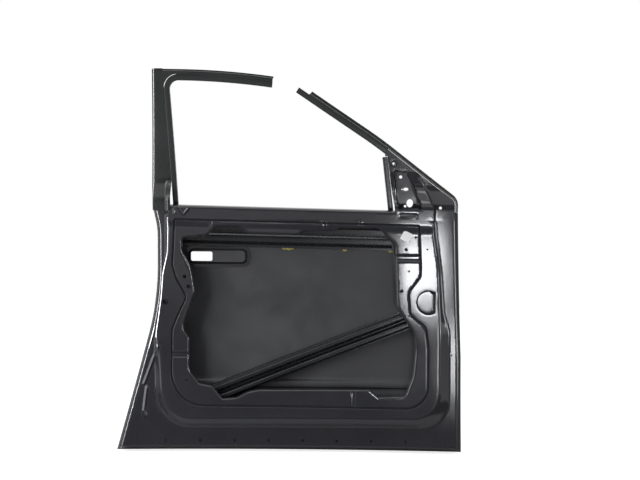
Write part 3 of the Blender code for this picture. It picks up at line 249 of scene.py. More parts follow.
# Glass run channels that line the window
CHANNEL_WIDTH = 0.016
CHANNEL_OUTER_DEPTH = 0.0165
CHANNEL_INNER_DEPTH = 0.0300
WINDOW_REAR_TOP = 0.1685
WINDOW_REAR_BELT = 0.190
WINDOW_CORNER_RADIUS = 0.036
REAR_CHANNEL_FOOT = 0.470
CHANNEL_TAIL = 0.038
GUIDE_TOP_SETBACK = 0.2605
GUIDE_TOP_RISE = 0.1715
GUIDE_TOP = (DOOR_LENGTH - GUIDE_TOP_SETBACK, BELT_FRONT + GUIDE_TOP_RISE)
GUIDE_BELT_SETBACK = 0.239
GUIDE_BELT = DOOR_LENGTH - GUIDE_BELT_SETBACK
GUIDE_FOOT = 0.470

# Mirror triangle
FLAG_FOOT_DROP = 0.027
FLAG_SILL_REACH = 0.075
FLAG_SILL_BEND = FLAG_SILL_REACH * 0.6
FLAG_REAR_SHARES = (0.16, 0.30, 0.49, 1)
SEAT_DEPTH = 0.0180
SEAT_DRAFT = 0.004
CREASE_WIDTH = 0.011
CREASE_RISE = 0.006
CREASE_FADE = 0.030
CREASE_FADE_TOP = 0.012
RIB_HEIGHT = 0.004
RIB_DRAFT = 0.6 * RIB_HEIGHT
MIRROR_PITCH = 0.006

# Belt rails
RAIL_REAR = 0.150
RAIL_FRONT_SETBACK = 0.060
RAIL_SETBACK = 0.006
RAIL_STEPS = 60
OUTER_RAIL_SECTION = (
    (0.128, 0.0045), (0.118, 0.0045), (0.112, 0.0130), (0.092, 0.0130), (0.086, 0.0070), (0.062, 0.0070),
    (0.056, 0.0130), (0.022, 0.0130), (0.015, 0.0024), (0.005, 0.0024),
)
INNER_RAIL_SECTION = (
    (0.0135, 0.0000), (0.0215, 0.0000), (0.0255, 0.0170), (0.044, 0.0170), (0.047, 0.0115),
)

# Side beam
BEAM_REAR = (0.112, 0.100)
BEAM_FRONT_SETBACK = 0.082
BEAM_FRONT_HEIGHT = 0.4545
BEAM_SHEET = 0.0020
BEAM_HALF_SECTION = ((0.031, 0.014), (0.025, 0.014), (0.021, 0.044), (0.009, 0.044), (0.004, 0.026))
BRACKET_HALF_WIDTH = 0.021
BRACKET_LAP = 0.045
BRACKET_REACH = 0.030
BRACKET_JOGGLE = (-0.001, 0.010)

# Mastic dabs as (middle, length) along the belt, with the roll squeezed out of them
GLUE_DABS = ((0.538, 0.039), (0.7215, 0.016), (0.8695, 0.018))
GLUE_WIDTH = 0.007
DAB_ROWS = 28
DAB_TIP = 0.12
DAB_SQUEEZE = 0.0060
DAB_BULGE = 0.0018

# Label, holes along the sill and ring round the handle's pocket
LABEL_SETBACK = 0.184
LABEL_HEIGHT = 0.685
LABEL_SIDE = 0.030
LABEL_THICKNESS = 0.0005
LABEL_TURN = -27.0
SILL_HOLE_HEIGHT = 0.036
SILL_HOLE_PITCH = 0.108
SILL_HOLE_FIRST = 0.160
SILL_HOLE_COUNT = 8
SMALL_HOLE = 0.0032
HANDLE_RING_WIDTH = 0.012

# How finely curves and surfaces are cut into flats, and how bends are rounded
ARC_STEP = math.radians(7)
LONG_STEP = 0.012
HOLE_SIDES = 20
FINE_PITCH = 0.0048
SKIN_PITCH = 0.009
LOW_STEPS = 24
HIGH_STEPS = 36
SILL_STEPS = 84
BEND_STEPS = 4
BEND_RADIUS = 0.0028
BEND_SHARE = 0.45
SHARP_ANGLE = math.radians(33)

# Grid of points inside a pressing, in shares of its pitch: the rows' spacing, and how far the points
# keep from the outer line, from the closed lines and from the open ones
ROW_PITCH = 0.88
EDGE_CLEAR = 0.4
LOOP_CLEAR = 0.45
LINE_CLEAR = 0.3


def skin_curve(x, z):
    """Outboard place of the skin's outer face, which is zero at its crown."""
    radius = CROWN_RADIUS_UP if z > CROWN_HEIGHT else CROWN_RADIUS_DOWN
    return -((z - CROWN_HEIGHT) ** 2) / (2 * radius) - (x - CROWN_MIDDLE) ** 2 / (2 * CROWN_RADIUS_PLAN)


def front_edge(z):
    """x of the door's front edge, which leans back above its bend."""
    rise = max(0.0, z - FRONT_BEND_HEIGHT) / (BELT_FRONT - FRONT_BEND_HEIGHT)
    return DOOR_LENGTH - FRONT_TOP_SETBACK * rise


def front_jamb_x(z, depth):
    """x of the middle of the front jamb wall's sheet, which is flat above the edge's bend and below it."""
    foot = front_edge(UPPER_HINGE_HEIGHT) - JAMB_FOOT
    level = skin_curve(foot, UPPER_HINGE_HEIGHT) - FLANGE_DEPTH
    slope = (JAMB_TOP - JAMB_FOOT) / (LAND_DEPTH - FLANGE_DEPTH)
    x = front_edge(z) - JAMB_FOOT
    for _ in range(5):
        x = front_edge(z) - JAMB_FOOT + slope * (skin_curve(x, z) - depth - level)
    return x


def hinge_origin():
    """The middle of the upper hinge face, on the outer face of the front jamb wall."""
    z = UPPER_HINGE_HEIGHT
    x = front_jamb_x(z, LAND_DEPTH / 2) + PANEL_SHEET / 2
    return Vector((x, skin_curve(x, z) - LAND_DEPTH / 2, z))


ORIGIN = hinge_origin()


def place(x, z, depth):
    """A spot in the part's frame, from its place in the door's plane and its depth behind the skin."""
    return Vector((x, skin_curve(x, z) - depth, z)) - ORIGIN


def belt(x):
    """Height of the belt line, which falls towards the front."""
    return BELT_REAR + (BELT_FRONT - BELT_REAR) * x / DOOR_LENGTH


def resolve(corners):
    """Corners as (x, z, radius): a negative x is back from the front edge, a negative z below the belt."""
    made = []
    for x, z, radius in corners:
        along = x if x >= 0 else DOOR_LENGTH + x
        made.append((along, z if z > 0 else belt(along) + z, radius))
    return made


def rounded(corners, closed=True):
    """The points of a line through the corners, with each corner's radius cut into flats."""
    points = []
    count = len(corners)
    for i, (x, z, radius) in enumerate(corners):
        here = Vector((x, z))
        if not closed and i in (0, count - 1) or radius <= 0:
            points.append(here)
            continue
        back = Vector(corners[i - 1][:2]) - here
        ahead = Vector(corners[(i + 1) % count][:2]) - here
        turn = math.pi - back.angle(ahead)
        if turn < 1e-3:
            points.append(here)
            continue
        reach = min(radius * math.tan(turn / 2), 0.49 * back.length, 0.49 * ahead.length)
        true_radius = reach / math.tan(turn / 2)
        halfway = (back.normalized() + ahead.normalized()).normalized()
        middle = here + halfway * true_radius / math.cos(turn / 2)
        start = here + back.normalized() * reach - middle
        side = 1 if back.cross(ahead) < 0 else -1
        steps = max(1, round(turn / ARC_STEP), math.ceil(true_radius * turn / LONG_STEP))
        for k in range(steps + 1):
            angle = side * turn * k / steps
            cos, sin = math.cos(angle), math.sin(angle)
            points.append(middle + Vector((start.x * cos - start.y * sin, start.x * sin + start.y * cos)))
    return points


def divided(points, closed=True, step=LONG_STEP):
    """The same line with its long stretches cut into even pieces."""
    made = []
    count = len(points)
    for i in range(count if closed else count - 1):
        start, end = points[i], points[(i + 1) % count]
        pieces = max(1, math.ceil((end - start).length / step - 0.2))
        made += [start.lerp(end, k / pieces) for k in range(pieces)]
    return made if closed else made + [points[-1]]


def offset(points, distance, closed=False):
    """The line moved sideways, to the right of its direction, with mitred corners."""
    made = []
    count = len(points)
    for i, here in enumerate(points):
        before = points[i - 1] if closed or i > 0 else None
        after = points[(i + 1) % count] if closed or i < count - 1 else None
        normals = []
        for a, b in ((before, here), (here, after)):
            if a is not None and b is not None:
                run = (b - a).normalized()
                normals.append(Vector((run.y, -run.x)))
        normal = sum(normals, Vector((0, 0))).normalized()
        made.append(here + normal * distance / max(0.3, normal.dot(normals[0])))
    return made


def clamped(value):
    """The value, held between 0 and 1."""
    return min(1.0, max(0.0, value))


def even(start, end, steps):
    """Evenly spaced values from start to end."""
    return [start + (end - start) * k / steps for k in range(steps + 1)]


def inside(point, loop):
    """Whether a point lies within a closed loop."""
    found = False
    for i, here in enumerate(loop):
        other = loop[i - 1]
        if (here.y > point.y) != (other.y > point.y):
            if point.x < (other.x - here.x) * (point.y - here.y) / (other.y - here.y) + here.x:
                found = not found
    return found


def circle(x, z, radius, sides=HOLE_SIDES):
    return [
        Vector((x, z)) + radius * Vector((math.cos(math.tau * k / sides), math.sin(math.tau * k / sides)))
        for k in range(sides)
    ]


class Sheet:
    """A pressed sheet seen in the door's plane: closed loops of (x, z) with a depth for each, and holes."""

    def __init__(self, outer, outer_depth):
        self.points, self.edges, self.depths = [], [], []
        self.fields, self.holes = [], []
        self.outer = outer
        self.loop(outer, outer_depth)

    def loop(self, points, depth, closed=True):
        """Adds a line that the sheet bends along. depth is a number, or a function of x and z."""
        first = len(self.points)
        count = len(points)
        self.points += points
        self.depths += [depth(p.x, p.y) if callable(depth) else depth for p in points]
        for i in range(count if closed else count - 1):
            self.edges.append((first + i, first + (i + 1) % count))

    def field(self, loop, depth):
        """What lies inside this loop, and inside no later one, has this depth. None leaves it unfilled."""
        self.fields.append((loop, depth))

    def hole(self, points, depth):
        self.loop(points, depth)
        self.holes.append(points)

    def depth_at(self, point):
        found = None
        for loop, depth in self.fields:
            if inside(point, loop):
                found = depth(point.x, point.y) if callable(depth) else depth
        return found

    def fill(self, pitch):
        """Adds points in the open fields, so that their flats follow the door's curve."""
        low_x, high_x = min(p.x for p in self.outer), max(p.x for p in self.outer)
        low_z, high_z = min(p.y for p in self.outer), max(p.y for p in self.outer)
        clear = (EDGE_CLEAR * pitch) ** 2
        lines = list(self.points)
        for i in range(1, int((high_x - low_x) / pitch) + 1):
            for j in range(1, int((high_z - low_z) / pitch) + 1):
                spot = Vector((low_x + i * pitch, low_z + j * pitch))
                if not inside(spot, self.outer) or any(inside(spot, hole) for hole in self.holes):
                    continue
                depth = self.depth_at(spot)
                if depth is None or any((spot - p).length_squared < clear for p in lines):
                    continue
                self.points.append(spot)
                self.depths.append(depth)

    def bmesh(self):
        """The sheet's surface facing the cabin."""
        verts, _, faces, origins, _, _ = delaunay_2d_cdt(self.points, self.edges, [], 0, 1e-7)
        crossings = [tuple(round(c, 4) for c in v) for i, v in enumerate(verts) if not origins[i]]
        if crossings:
            raise ValueError(f"lines of a sheet cross at {crossings}")
        bm = bmesh.new()
        made = [bm.verts.new(place(v.x, v.y, self.depths[origins[i][0]])) for i, v in enumerate(verts)]
        for a, b, c in faces:
            middle = (verts[a] + verts[b] + verts[c]) / 3
            solid = (verts[b] - verts[a]).cross(verts[c] - verts[a]) > 5e-8
            if solid and inside(middle, self.outer) and not any(inside(middle, hole) for hole in self.holes):
                bm.faces.new((made[a], made[b], made[c]))
        for vert in [v for v in bm.verts if not v.link_faces]:
            bm.verts.remove(vert)
        return bm


def along(path, section):
    """Lines beside a path, for strip(): the section gives (distance to the right, depth) for each."""
    lines = []
    for distance, depth in section:
        lines.append([(p.x, p.y, depth) for p in offset(path, distance)])
    return lines


@functools.lru_cache(None)
def rear_points():
    """The lower body's rear edge, from the sill up to the belt."""
    corners = [
        (0.0, 0.0, 0),
        (REAR_WAIST, REAR_WAIST_HEIGHT, REAR_WAIST_RADIUS),
        (REAR_WAIST, BELT_REAR - REAR_SHOULDER_DROP, REAR_SHOULDER_RADIUS),
        (REAR_TOP, BELT_REAR, 0),
    ]
    return divided(rounded(corners, closed=False), closed=False)


def rear_edge(z):
    points = rear_points()
    for a, b in zip(points, points[1:]):
        if a.y <= z <= b.y:
            return a.x + (b.x - a.x) * (z - a.y) / (b.y - a.y)
    return points[-1].x


def body_line(rear, bottom, front, top, wall=None):
    """Closed line at its own distance from each side of the lower body. It always has as many points.

    With wall, a depth, its front side runs along the front jamb wall at that depth. It is eased in a little
    at the ends and the bend, so that nothing stands proud of the wall's flat faces.
    """
    eases = {bottom: WALL_EASE, FRONT_BEND_HEIGHT: WALL_EASE / 10}

    def front_x(z, ease):
        return front_edge(z) - front if wall is None else front_jamb_x(z, wall) - front - ease

    heights = [bottom] + [p.y for p in rear_points()[1:-1]]
    rear_side = [Vector((rear_edge(z) + rear, z)) for z in heights]
    top_rear = Vector((REAR_TOP + rear, belt(REAR_TOP + rear) - top))
    rest = BELT_FRONT - FRONT_BEND_HEIGHT
    heights = [bottom] + [FRONT_BEND_HEIGHT * k / LOW_STEPS for k in range(1, LOW_STEPS)]
    heights += [FRONT_BEND_HEIGHT + rest * k / HIGH_STEPS for k in range(HIGH_STEPS)]
    front_side = [Vector((front_x(z, eases.get(z, 0)), z)) for z in heights]
    front_top = belt(DOOR_LENGTH - front) - top
    top_front = Vector((front_x(BELT_FRONT if wall is None else front_top, WALL_EASE), front_top))
    width = top_front.x - top_rear.x
    marks = [CORNER_REACH, LAND_REAR - top_rear.x, BAND_REAR - top_rear.x]
    marks += [width - CORNER_REACH, LAND_FRONT - top_rear.x, BAND_FRONT - top_rear.x]
    across = sorted({k / SILL_STEPS for k in range(1, SILL_STEPS)} | {1 - m / width for m in marks})
    sill = [Vector((rear_side[0].x + (front_side[0].x - rear_side[0].x) * k, bottom)) for k in across]
    belt_side = [top_front.lerp(top_rear, k) for k in across]
    return rear_side[:1] + sill + front_side + [top_front] + belt_side + [top_rear] + rear_side[:0:-1]


def band_share(x):
    """0 over the jambs' lands and 1 over the belt band between them."""
    rear = (x - LAND_REAR) / (BAND_REAR - LAND_REAR)
    front = (LAND_FRONT - x) / (LAND_FRONT - BAND_FRONT)
    return clamped(min(rear, front))


# Outlines of the inner panel's levels as (x, z, corner radius), in the form that resolve() reads:
# the edge of the main face, the foot of its step, the bead and the service opening
MAIN_CORNERS = [
    (0.166, -0.038, 0.012), (0.163, 0.630, 0.080), (0.1480, 0.562, 0.080), (0.1430, 0.489, 0.100),
    (0.1350, 0.426, 0.080), (0.1270, 0.368, 0.080), (0.138, 0.295, 0.120), (0.153, 0.108, 0.120),
    (-0.076, 0.112, 0.085), (-0.075, 0.441, 0.200), (-0.082, 0.582, 0.200), (-0.100, 0.698, 0.100),
    (-0.104, -0.038, 0.012),
]
STEP_CORNERS = [
    (0.167, -0.032, 0), (0.154, -0.032, 0.004), (0.153, 0.630, 0.080), (0.1420, 0.561, 0.080),
    (0.1370, 0.487, 0.100), (0.1290, 0.424, 0.080), (0.1200, 0.365, 0.080), (0.123, 0.292, 0.120),
    (0.131, 0.076, 0.135), (-0.044, 0.080, 0.085), (-0.044, 0.385, 0.030), (-0.063, 0.444, 0.060),
    (-0.073, 0.581, 0.200), (-0.090, 0.698, 0.100), (-0.093, -0.032, 0.004), (-0.105, -0.032, 0),
]
BEAD_CORNERS = [
    (0.181, -0.042, 0.010), (0.173, 0.586, 0.050), (0.184, 0.547, 0.030), (0.217, 0.487, 0.020),
    (0.194, 0.440, 0.040), (0.173, 0.387, 0.060), (0.174, 0.145, 0.108), (-0.106, 0.139, 0.075),
    (-0.106, 0.334, 0.100), (-0.115, 0.402, 0.040), (-0.164, 0.440, 0.030), (-0.170, 0.508, 0.030),
    (-0.133, 0.557, 0.030), (-0.133, 0.596, 0.100), (-0.140, -0.042, 0.010),
]
NOTCH_REAR = 0.418
NOTCH_FRONT_SETBACK = 0.407
NOTCH_SPAN = DOOR_LENGTH - NOTCH_FRONT_SETBACK - NOTCH_REAR
OPENING_CORNERS = [
    (0.209, 0.675, 0.010), (0.284, 0.683, 0.008), (0.316, 0.711, 0.010), (0.381, 0.711, 0.010),
    (NOTCH_REAR, 0.690, 0.010), (NOTCH_REAR + NOTCH_SPAN * 0.57, 0.687, 0.008),
    (NOTCH_REAR + NOTCH_SPAN * 0.64, 0.699, 0.010), (-NOTCH_FRONT_SETBACK, 0.701, 0.008),
    (-0.391, 0.709, 0.008), (-0.269, 0.709, 0.014), (-0.219, 0.658, 0.020), (-0.215, 0.557, 0.100),
    (-0.211, 0.461, 0.020), (-0.157, 0.380, 0.060), (-0.152, 0.324, 0.080), (-0.159, 0.246, 0.060),
    (-0.182, 0.184, 0.014), (-0.266, 0.179, 0.010), (-0.295, 0.202, 0.008), (0.451, 0.199, 0.010),
    (0.415, 0.191, 0.012), (0.383, 0.174, 0.008), (0.338, 0.170, 0.008), (0.305, 0.210, 0.008),
    (0.264, 0.218, 0.016), (0.232, 0.260, 0.030), (0.232, 0.359, 0.008), (0.214, 0.386, 0.010),
    (0.214, 0.406, 0.012), (0.248, 0.503, 0.050), (0.236, 0.576, 0.040), (0.207, 0.635, 0.014),
]
# Holes as (x, z, radius)
PANEL_HOLES = [
    (-0.155, 0.683, 0.0040), (-0.184, 0.644, 0.0055), (-0.118, 0.645, 0.0030), (-0.174, 0.576, 0.0035),
    (-0.197, 0.513, 0.0065), (-0.173, 0.435, 0.0030), (-0.036, 0.310, 0.0032), (-0.035, 0.180, 0.0032),
    (0.216, 0.553, 0.0060), (0.228, 0.522, 0.0065), (0.157, 0.474, 0.0090), (0.225, 0.229, 0.0035),
    (0.446, 0.171, 0.0035),
]


def panel_loop(corners, inward=0.0):
    points = rounded(resolve(corners))
    return divided(offset(points, inward, closed=True) if inward else points)


def pocket_loop(radius):
    """D-shaped line of the half-moon pocket, its straight side towards the front jamb."""
    x, z = DOOR_LENGTH - POCKET_SETBACK, POCKET_HEIGHT
    flat = POCKET_FLAT * radius
    half = math.acos(flat / radius)
    points = []
    for k in range(POCKET_STEPS + 1):
        angle = half + (2 * math.pi - 2 * half) * k / POCKET_STEPS
        points.append(Vector((x + radius * math.cos(angle), z + radius * math.sin(angle))))
    return points


def handle_loop(inset, front=HANDLE_FRONT):
    corners = [
        (HANDLE_REAR + inset, HANDLE_BOTTOM + inset),
        (front - inset, HANDLE_BOTTOM + inset),
        (front - inset, HANDLE_TOP - inset),
        (HANDLE_REAR + inset, HANDLE_TOP - inset),
    ]
    radius = HANDLE_RADIUS - inset
    return rounded([(x, z, radius) for x, z in corners])


def on_belt(point):
    return abs(point.y - belt(point.x)) < 0.001


# From the window line to the frame's edge, which all but touches the glass channel there
RUN_OFFSET = CHANNEL_WIDTH + FRAME_SHEET / 2 + GAP / 6
RUN_BEND = 0.0008
RUN_LIP = 0.004
ON_PANEL = PANEL_SHEET / 2 + 2 * GAP + FRAME_SHEET / 2


def foot_share(x, z):
    """1 at the frame's feet on the inner panel and 0 above them, smoothly between."""
    share = clamped((belt(x) + FRAME_SHOULDER + FRAME_BLEND - z) / FRAME_BLEND)
    return share * share * (3 - 2 * share)


def frame_depth(x, z, band=None):
    """Depth of the frame's face, which sinks on to the inner panel's land or band at its foot."""
    band = band_share(x) if band is None else band
    foot = LAND_DEPTH + (BELT_BAND_DEPTH - LAND_DEPTH) * band + ON_PANEL
    return FRAME_DEPTH + (foot - FRAME_DEPTH) * foot_share(x, z)


def header_drop(x):
    return max(0.0, x - HEADER_FLAT) ** 2 / (2 * HEADER_RADIUS)


def header_edge():
    return [Vector((x, FRAME_TOP - header_drop(x))) for x in even(FRAME_REAR_TOP, HEADER_CUT, 30)]


def window_rear_x(z):
    """x of the window's rear side, which goes on down inside the door."""
    top = FRAME_TOP - HEADER_WIDTH
    return WINDOW_REAR_BELT + (WINDOW_REAR_TOP - WINDOW_REAR_BELT) * (z - BELT_REAR) / (top - BELT_REAR)


def window_line():
    """The window's rear side, its upper corner and its top, up to the header's cut."""
    top = FRAME_TOP - HEADER_WIDTH
    corner = (WINDOW_REAR_TOP, top, WINDOW_CORNER_RADIUS)
    edge = offset(header_edge(), HEADER_WIDTH)
    head = [(p.x, p.y, 0) for p in edge if p.x > WINDOW_REAR_TOP + 0.05]
    foot = [(window_rear_x(REAR_CHANNEL_FOOT), REAR_CHANNEL_FOOT, 0)]
    return divided(rounded(foot + [corner] + head, closed=False), closed=False)


def frame_upright():
    """Rear post of the frame: flange, wall and a face that widens towards its foot on the belt band."""
    low = belt(REAR_TOP)
    mitre = FRAME_TOP - HEADER_WIDTH + RUN_OFFSET
    flange = FRAME_TOP - FRAME_FLANGE
    ends = (FRAME_TOP, flange, flange, flange - FRAME_WALL, mitre + 0.006, mitre + 0.003, mitre)
    lines = [[] for end in ends]
    for k in range(UPRIGHT_STEPS + 1):
        rise = ((k - 1) / (UPRIGHT_STEPS - 1)) ** UPRIGHT_CROWDING if k else 0
        z = low + FRAME_SHOULDER + (FRAME_TOP - low) * rise if k else low + 2 * GAP
        edge = REAR_TOP + (FRAME_REAR_TOP - REAR_TOP) * (z - low) / (FRAME_TOP - low)
        deep = z if k else low - FRAME_OVERLAP
        wall = edge + FRAME_FLANGE
        foot = (wall + WALL_LEAN, z, FLANGE_DEPTH + WALL_FOOT)
        spots = [(edge, z, FLANGE_DEPTH), (wall, z, FLANGE_DEPTH), foot]
        last = window_rear_x(z) - RUN_OFFSET
        crease = last + LAND_REAR - CREASE_LAP - (window_rear_x(low) - RUN_OFFSET)
        step = crease + (BAND_REAR - LAND_REAR) * 0.9
        face = ((wall + FRAME_WALL, 0), (crease, 0), (step, 1), (last, 1))
        spots += [(x, deep, frame_depth(edge, deep, band)) for x, band in face]
        for line, spot, end in zip(lines, spots, ends):
            line.append(spot if k < UPRIGHT_STEPS else (spot[0], end - MITRE_GAP, spot[2]))
    strip("frame_upright", lines, FRAME_SHEET)


def frame_header():
    """Top of the frame, up to its square cut end."""
    wall = FRAME_FLANGE + FRAME_WALL
    section = ((0, FLANGE_DEPTH), (FRAME_FLANGE, FLANGE_DEPTH), (wall, FRAME_DEPTH))
    lines = along(header_edge(), section + ((HEADER_WIDTH - RUN_OFFSET, FRAME_DEPTH),))
    starts = (0, FRAME_FLANGE, wall, window_rear_x(FRAME_TOP - HEADER_WIDTH) - RUN_OFFSET - FRAME_REAR_TOP)
    for start, line in zip(starts, lines):
        line[0] = (FRAME_REAR_TOP + start + MITRE_GAP, line[0][1], line[0][2])
    strip("frame_header", lines, FRAME_SHEET)


def run_section():
    """U section that opens towards the window, with a turned-back lip on its cabin side."""
    inner, outer = CHANNEL_INNER_DEPTH, CHANNEL_OUTER_DEPTH
    return ((0, outer), (-CHANNEL_WIDTH, outer), (-CHANNEL_WIDTH, inner), (0, inner), (0, inner - RUN_LIP))


def glass_runs():
    strip("glass_run_rear", along(window_line(), run_section()), FRAME_SHEET, radius=RUN_BEND)
    path = pillar_edge()
    start = path[0] + (path[0] - path[1]).normalized() * CHANNEL_TAIL
    path = [start] + path
    last = run_end(path)
    cut = [p for p in path if p.x < last.x - 0.01] + [last]
    shifted = offset(cut, PILLAR_WIDTH)
    strip("glass_run_front", along(shifted, run_section()), FRAME_SHEET, radius=RUN_BEND)
    guide = [Vector(GUIDE_TOP), Vector((GUIDE_BELT, belt(GUIDE_BELT)))]
    slope = (guide[1] - guide[0]) / (guide[1].y - guide[0].y)
    guide.append(guide[1] + slope * (GUIDE_FOOT - guide[1].y))
    strip("glass_guide_front", along(divided(guide, closed=False), run_section()), FRAME_SHEET)


def pillar_edge():
    """Outer edge of the sloping front rail, from its cut down to the belt."""
    foot = belt(DOOR_LENGTH)
    corner = (front_edge(foot), foot + PILLAR_FOOT_RISE, SHOULDER_RADIUS)
    end = (front_edge(foot), foot + 2 * GAP, 0)
    corners = [(*PILLAR_CUT, 0), (*PILLAR_MIDDLE, PILLAR_BEND_RADIUS), corner, end]
    return divided(rounded(corners, closed=False), closed=False)


def run_end(path):
    """Place on the rail's edge where the front glass run stops and the mirror triangle begins."""
    reach = GUIDE_TOP[0] + RUN_OFFSET + 0.010
    for a, b in zip(path, path[1:]):
        if a.x <= reach < b.x:
            return a.lerp(b, (reach - a.x) / (b.x - a.x))
    return path[-1]


def frame_pillar():
    """The sloping front rail. Its face sinks on to the belt band at its foot, like the upright's, and is cut
    on a slant there to stay clear of the front jamb's flat face."""
    edge = pillar_edge()
    foot, top = PILLAR_FLANGE + WALL_LEAN, PILLAR_FLANGE + PILLAR_WALL
    section = (0, PILLAR_FLANGE, foot, top, PILLAR_WIDTH - RUN_OFFSET)
    lines = []
    for i, distance in enumerate(section):
        line = offset(edge, distance)
        if i > 2:
            lap = PILLAR_OUTER_LAP if i == 3 else FRAME_OVERLAP
            line[-1] = Vector((line[-1].x, line[-1].y - lap))
            lines.append([(p.x, p.y, frame_depth(p.x, p.y)) for p in line])
        else:
            lines.append([(p.x, p.y, FLANGE_DEPTH + (WALL_FOOT if i == 2 else 0)) for p in line])
    strip("frame_pillar", lines, FRAME_SHEET)


def frame_gusset():
    """Corner plate over the mitre, with its inner edge along the glass run's corner."""
    clear = RUN_OFFSET + GUSSET_CLEAR
    inner = [p for p in offset(window_line(), -clear) if p.y > GUSSET_FOOT and p.x < GUSSET_END]
    wall = FRAME_FLANGE + FRAME_WALL + GUSSET_INSET
    left, top = FRAME_REAR_TOP + wall, FRAME_TOP - wall
    end = [Vector((GUSSET_END, top - header_drop(GUSSET_END)))]
    end += [Vector((HEADER_FLAT, top)), Vector((left, top))]
    outline = divided([Vector((left + 0.001, GUSSET_FOOT))] + inner + end, step=GUSSET_STEP)
    depth = FRAME_DEPTH + FRAME_SHEET + 2 * GAP
    sheet = Sheet(outline, depth)
    sheet.field(outline, depth)
    sheet.fill(GUSSET_PITCH)
    finished("frame_gusset", sheet.bmesh(), thickness=FRAME_SHEET)


# Mirror triangle: the mirror's seat, the rib under it, the holes, the slots as (x, z, half width,
# half height), the boss and the crease
SEAT_CORNERS = [
    (-0.213, 0.769, 0.007), (-0.136, 0.768, 0.007), (-0.139, 0.793, 0.060), (-0.154, 0.842, 0.080),
    (-0.183, 0.893, 0.010), (-0.225, 0.899, 0.008),
]
RIB_CORNERS = [
    (-0.212, 0.742, 0.006), (-0.150, 0.741, 0.006), (-0.149, 0.758, 0.006), (-0.212, 0.759, 0.006),
]
FLAG_HOLES = [
    (-0.201, 0.874, 0.0050), (-0.196, 0.835, 0.0022), (-0.185, 0.782, 0.0040),
]
FLAG_SLOTS = [(-0.184, 0.8355, 0.008, 0.005), (-0.1705, 0.7915, 0.010, 0.013)]
FLAG_FACE_HOLE = (-0.0770, 0.776, 0.0045)
FLAG_BOSS = (-0.2255, 0.915)
BOSS_FOOT = 0.0100
BOSS_TOP = 0.0075
BOSS_HOLE = 0.0035
BOSS_SIDES = 24
FLAG_CREASE = [
    (-0.0905, 0.7350), (-0.0905, 0.7690), (-0.1010, 0.7920), (-0.1140, 0.8320), (-0.1300, 0.8600),
    (-0.1440, 0.8740),
]


def crease_x(z):
    """x of the crease that carries the panel's step on up into the mirror triangle."""
    points = [(DOOR_LENGTH + x, height) for x, height in FLAG_CREASE]
    for (x, low), (far, high) in zip(points, points[1:]):
        if z < high:
            return x + (far - x) * max(0.0, z - low) / (high - low)
    return points[-1][0]


def flag_depth(x, z):
    band = clamped((crease_x(z) - x) / CREASE_WIDTH)
    fade = clamped((FLAG_CREASE[-1][1] + CREASE_FADE_TOP - z) / CREASE_FADE)
    return frame_depth(x, z, band) + CREASE_RISE * band * fade * (1 - foot_share(x, z))


def raised(x, z):
    """Depth of the mirror triangle's rib and boss."""
    return flag_depth(x, z) + RIB_HEIGHT


def ellipse(x, z, across, up, sides=28):
    turns = [2 * math.pi * k / sides for k in range(sides)]
    return [Vector((x + across * math.cos(t), z + up * math.sin(t))) for t in turns]


def guide_x(z):
    """x of the mirror triangle's rear edge, just clear of the glass guide."""
    slope = (GUIDE_BELT - GUIDE_TOP[0]) / (GUIDE_TOP[1] - belt(GUIDE_BELT))
    return GUIDE_TOP[0] + (GUIDE_TOP[1] - z) * slope + RUN_OFFSET + 2 * GAP


def flag_outline():
    """Outline of the mirror triangle: under the rail, down the front, along the belt, up the guide."""
    path = pillar_edge()
    last = run_end(path)
    rim = offset([last] + [p for p in path if p.x > last.x + 0.004], PILLAR_WIDTH - RUN_OFFSET + 3 * GAP)
    foot = belt(DOOR_LENGTH) - FLAG_FOOT_DROP
    run = (rim[1] - rim[0]).normalized()
    corner = rim[0] + Vector((run.y, -run.x)) * CHANNEL_WIDTH + run * GAP
    shelf = GUIDE_TOP[1] + CHANNEL_WIDTH * 0.12 + 4 * GAP
    front = [Vector((rim[-1].x, belt(DOOR_LENGTH))), Vector((rim[-1].x, foot))]
    crease = crease_x(foot)
    middle = (front[1].x + crease) / 2
    xs = (middle, crease, crease - CREASE_WIDTH, crease - FLAG_SILL_BEND, crease - FLAG_SILL_REACH)
    sill = [Vector((x, foot)) for x in xs]
    low = belt(GUIDE_BELT) + FRAME_SHOULDER
    heights = (foot, low) + tuple(low + (shelf - low) * k for k in FLAG_REAR_SHARES)
    rear = [Vector((guide_x(z), z)) for z in heights]
    rear += [Vector((corner.x + 0.001, shelf)), corner]
    return [rim[0] + run * GAP] + rim[1:-1] + front + sill + rear


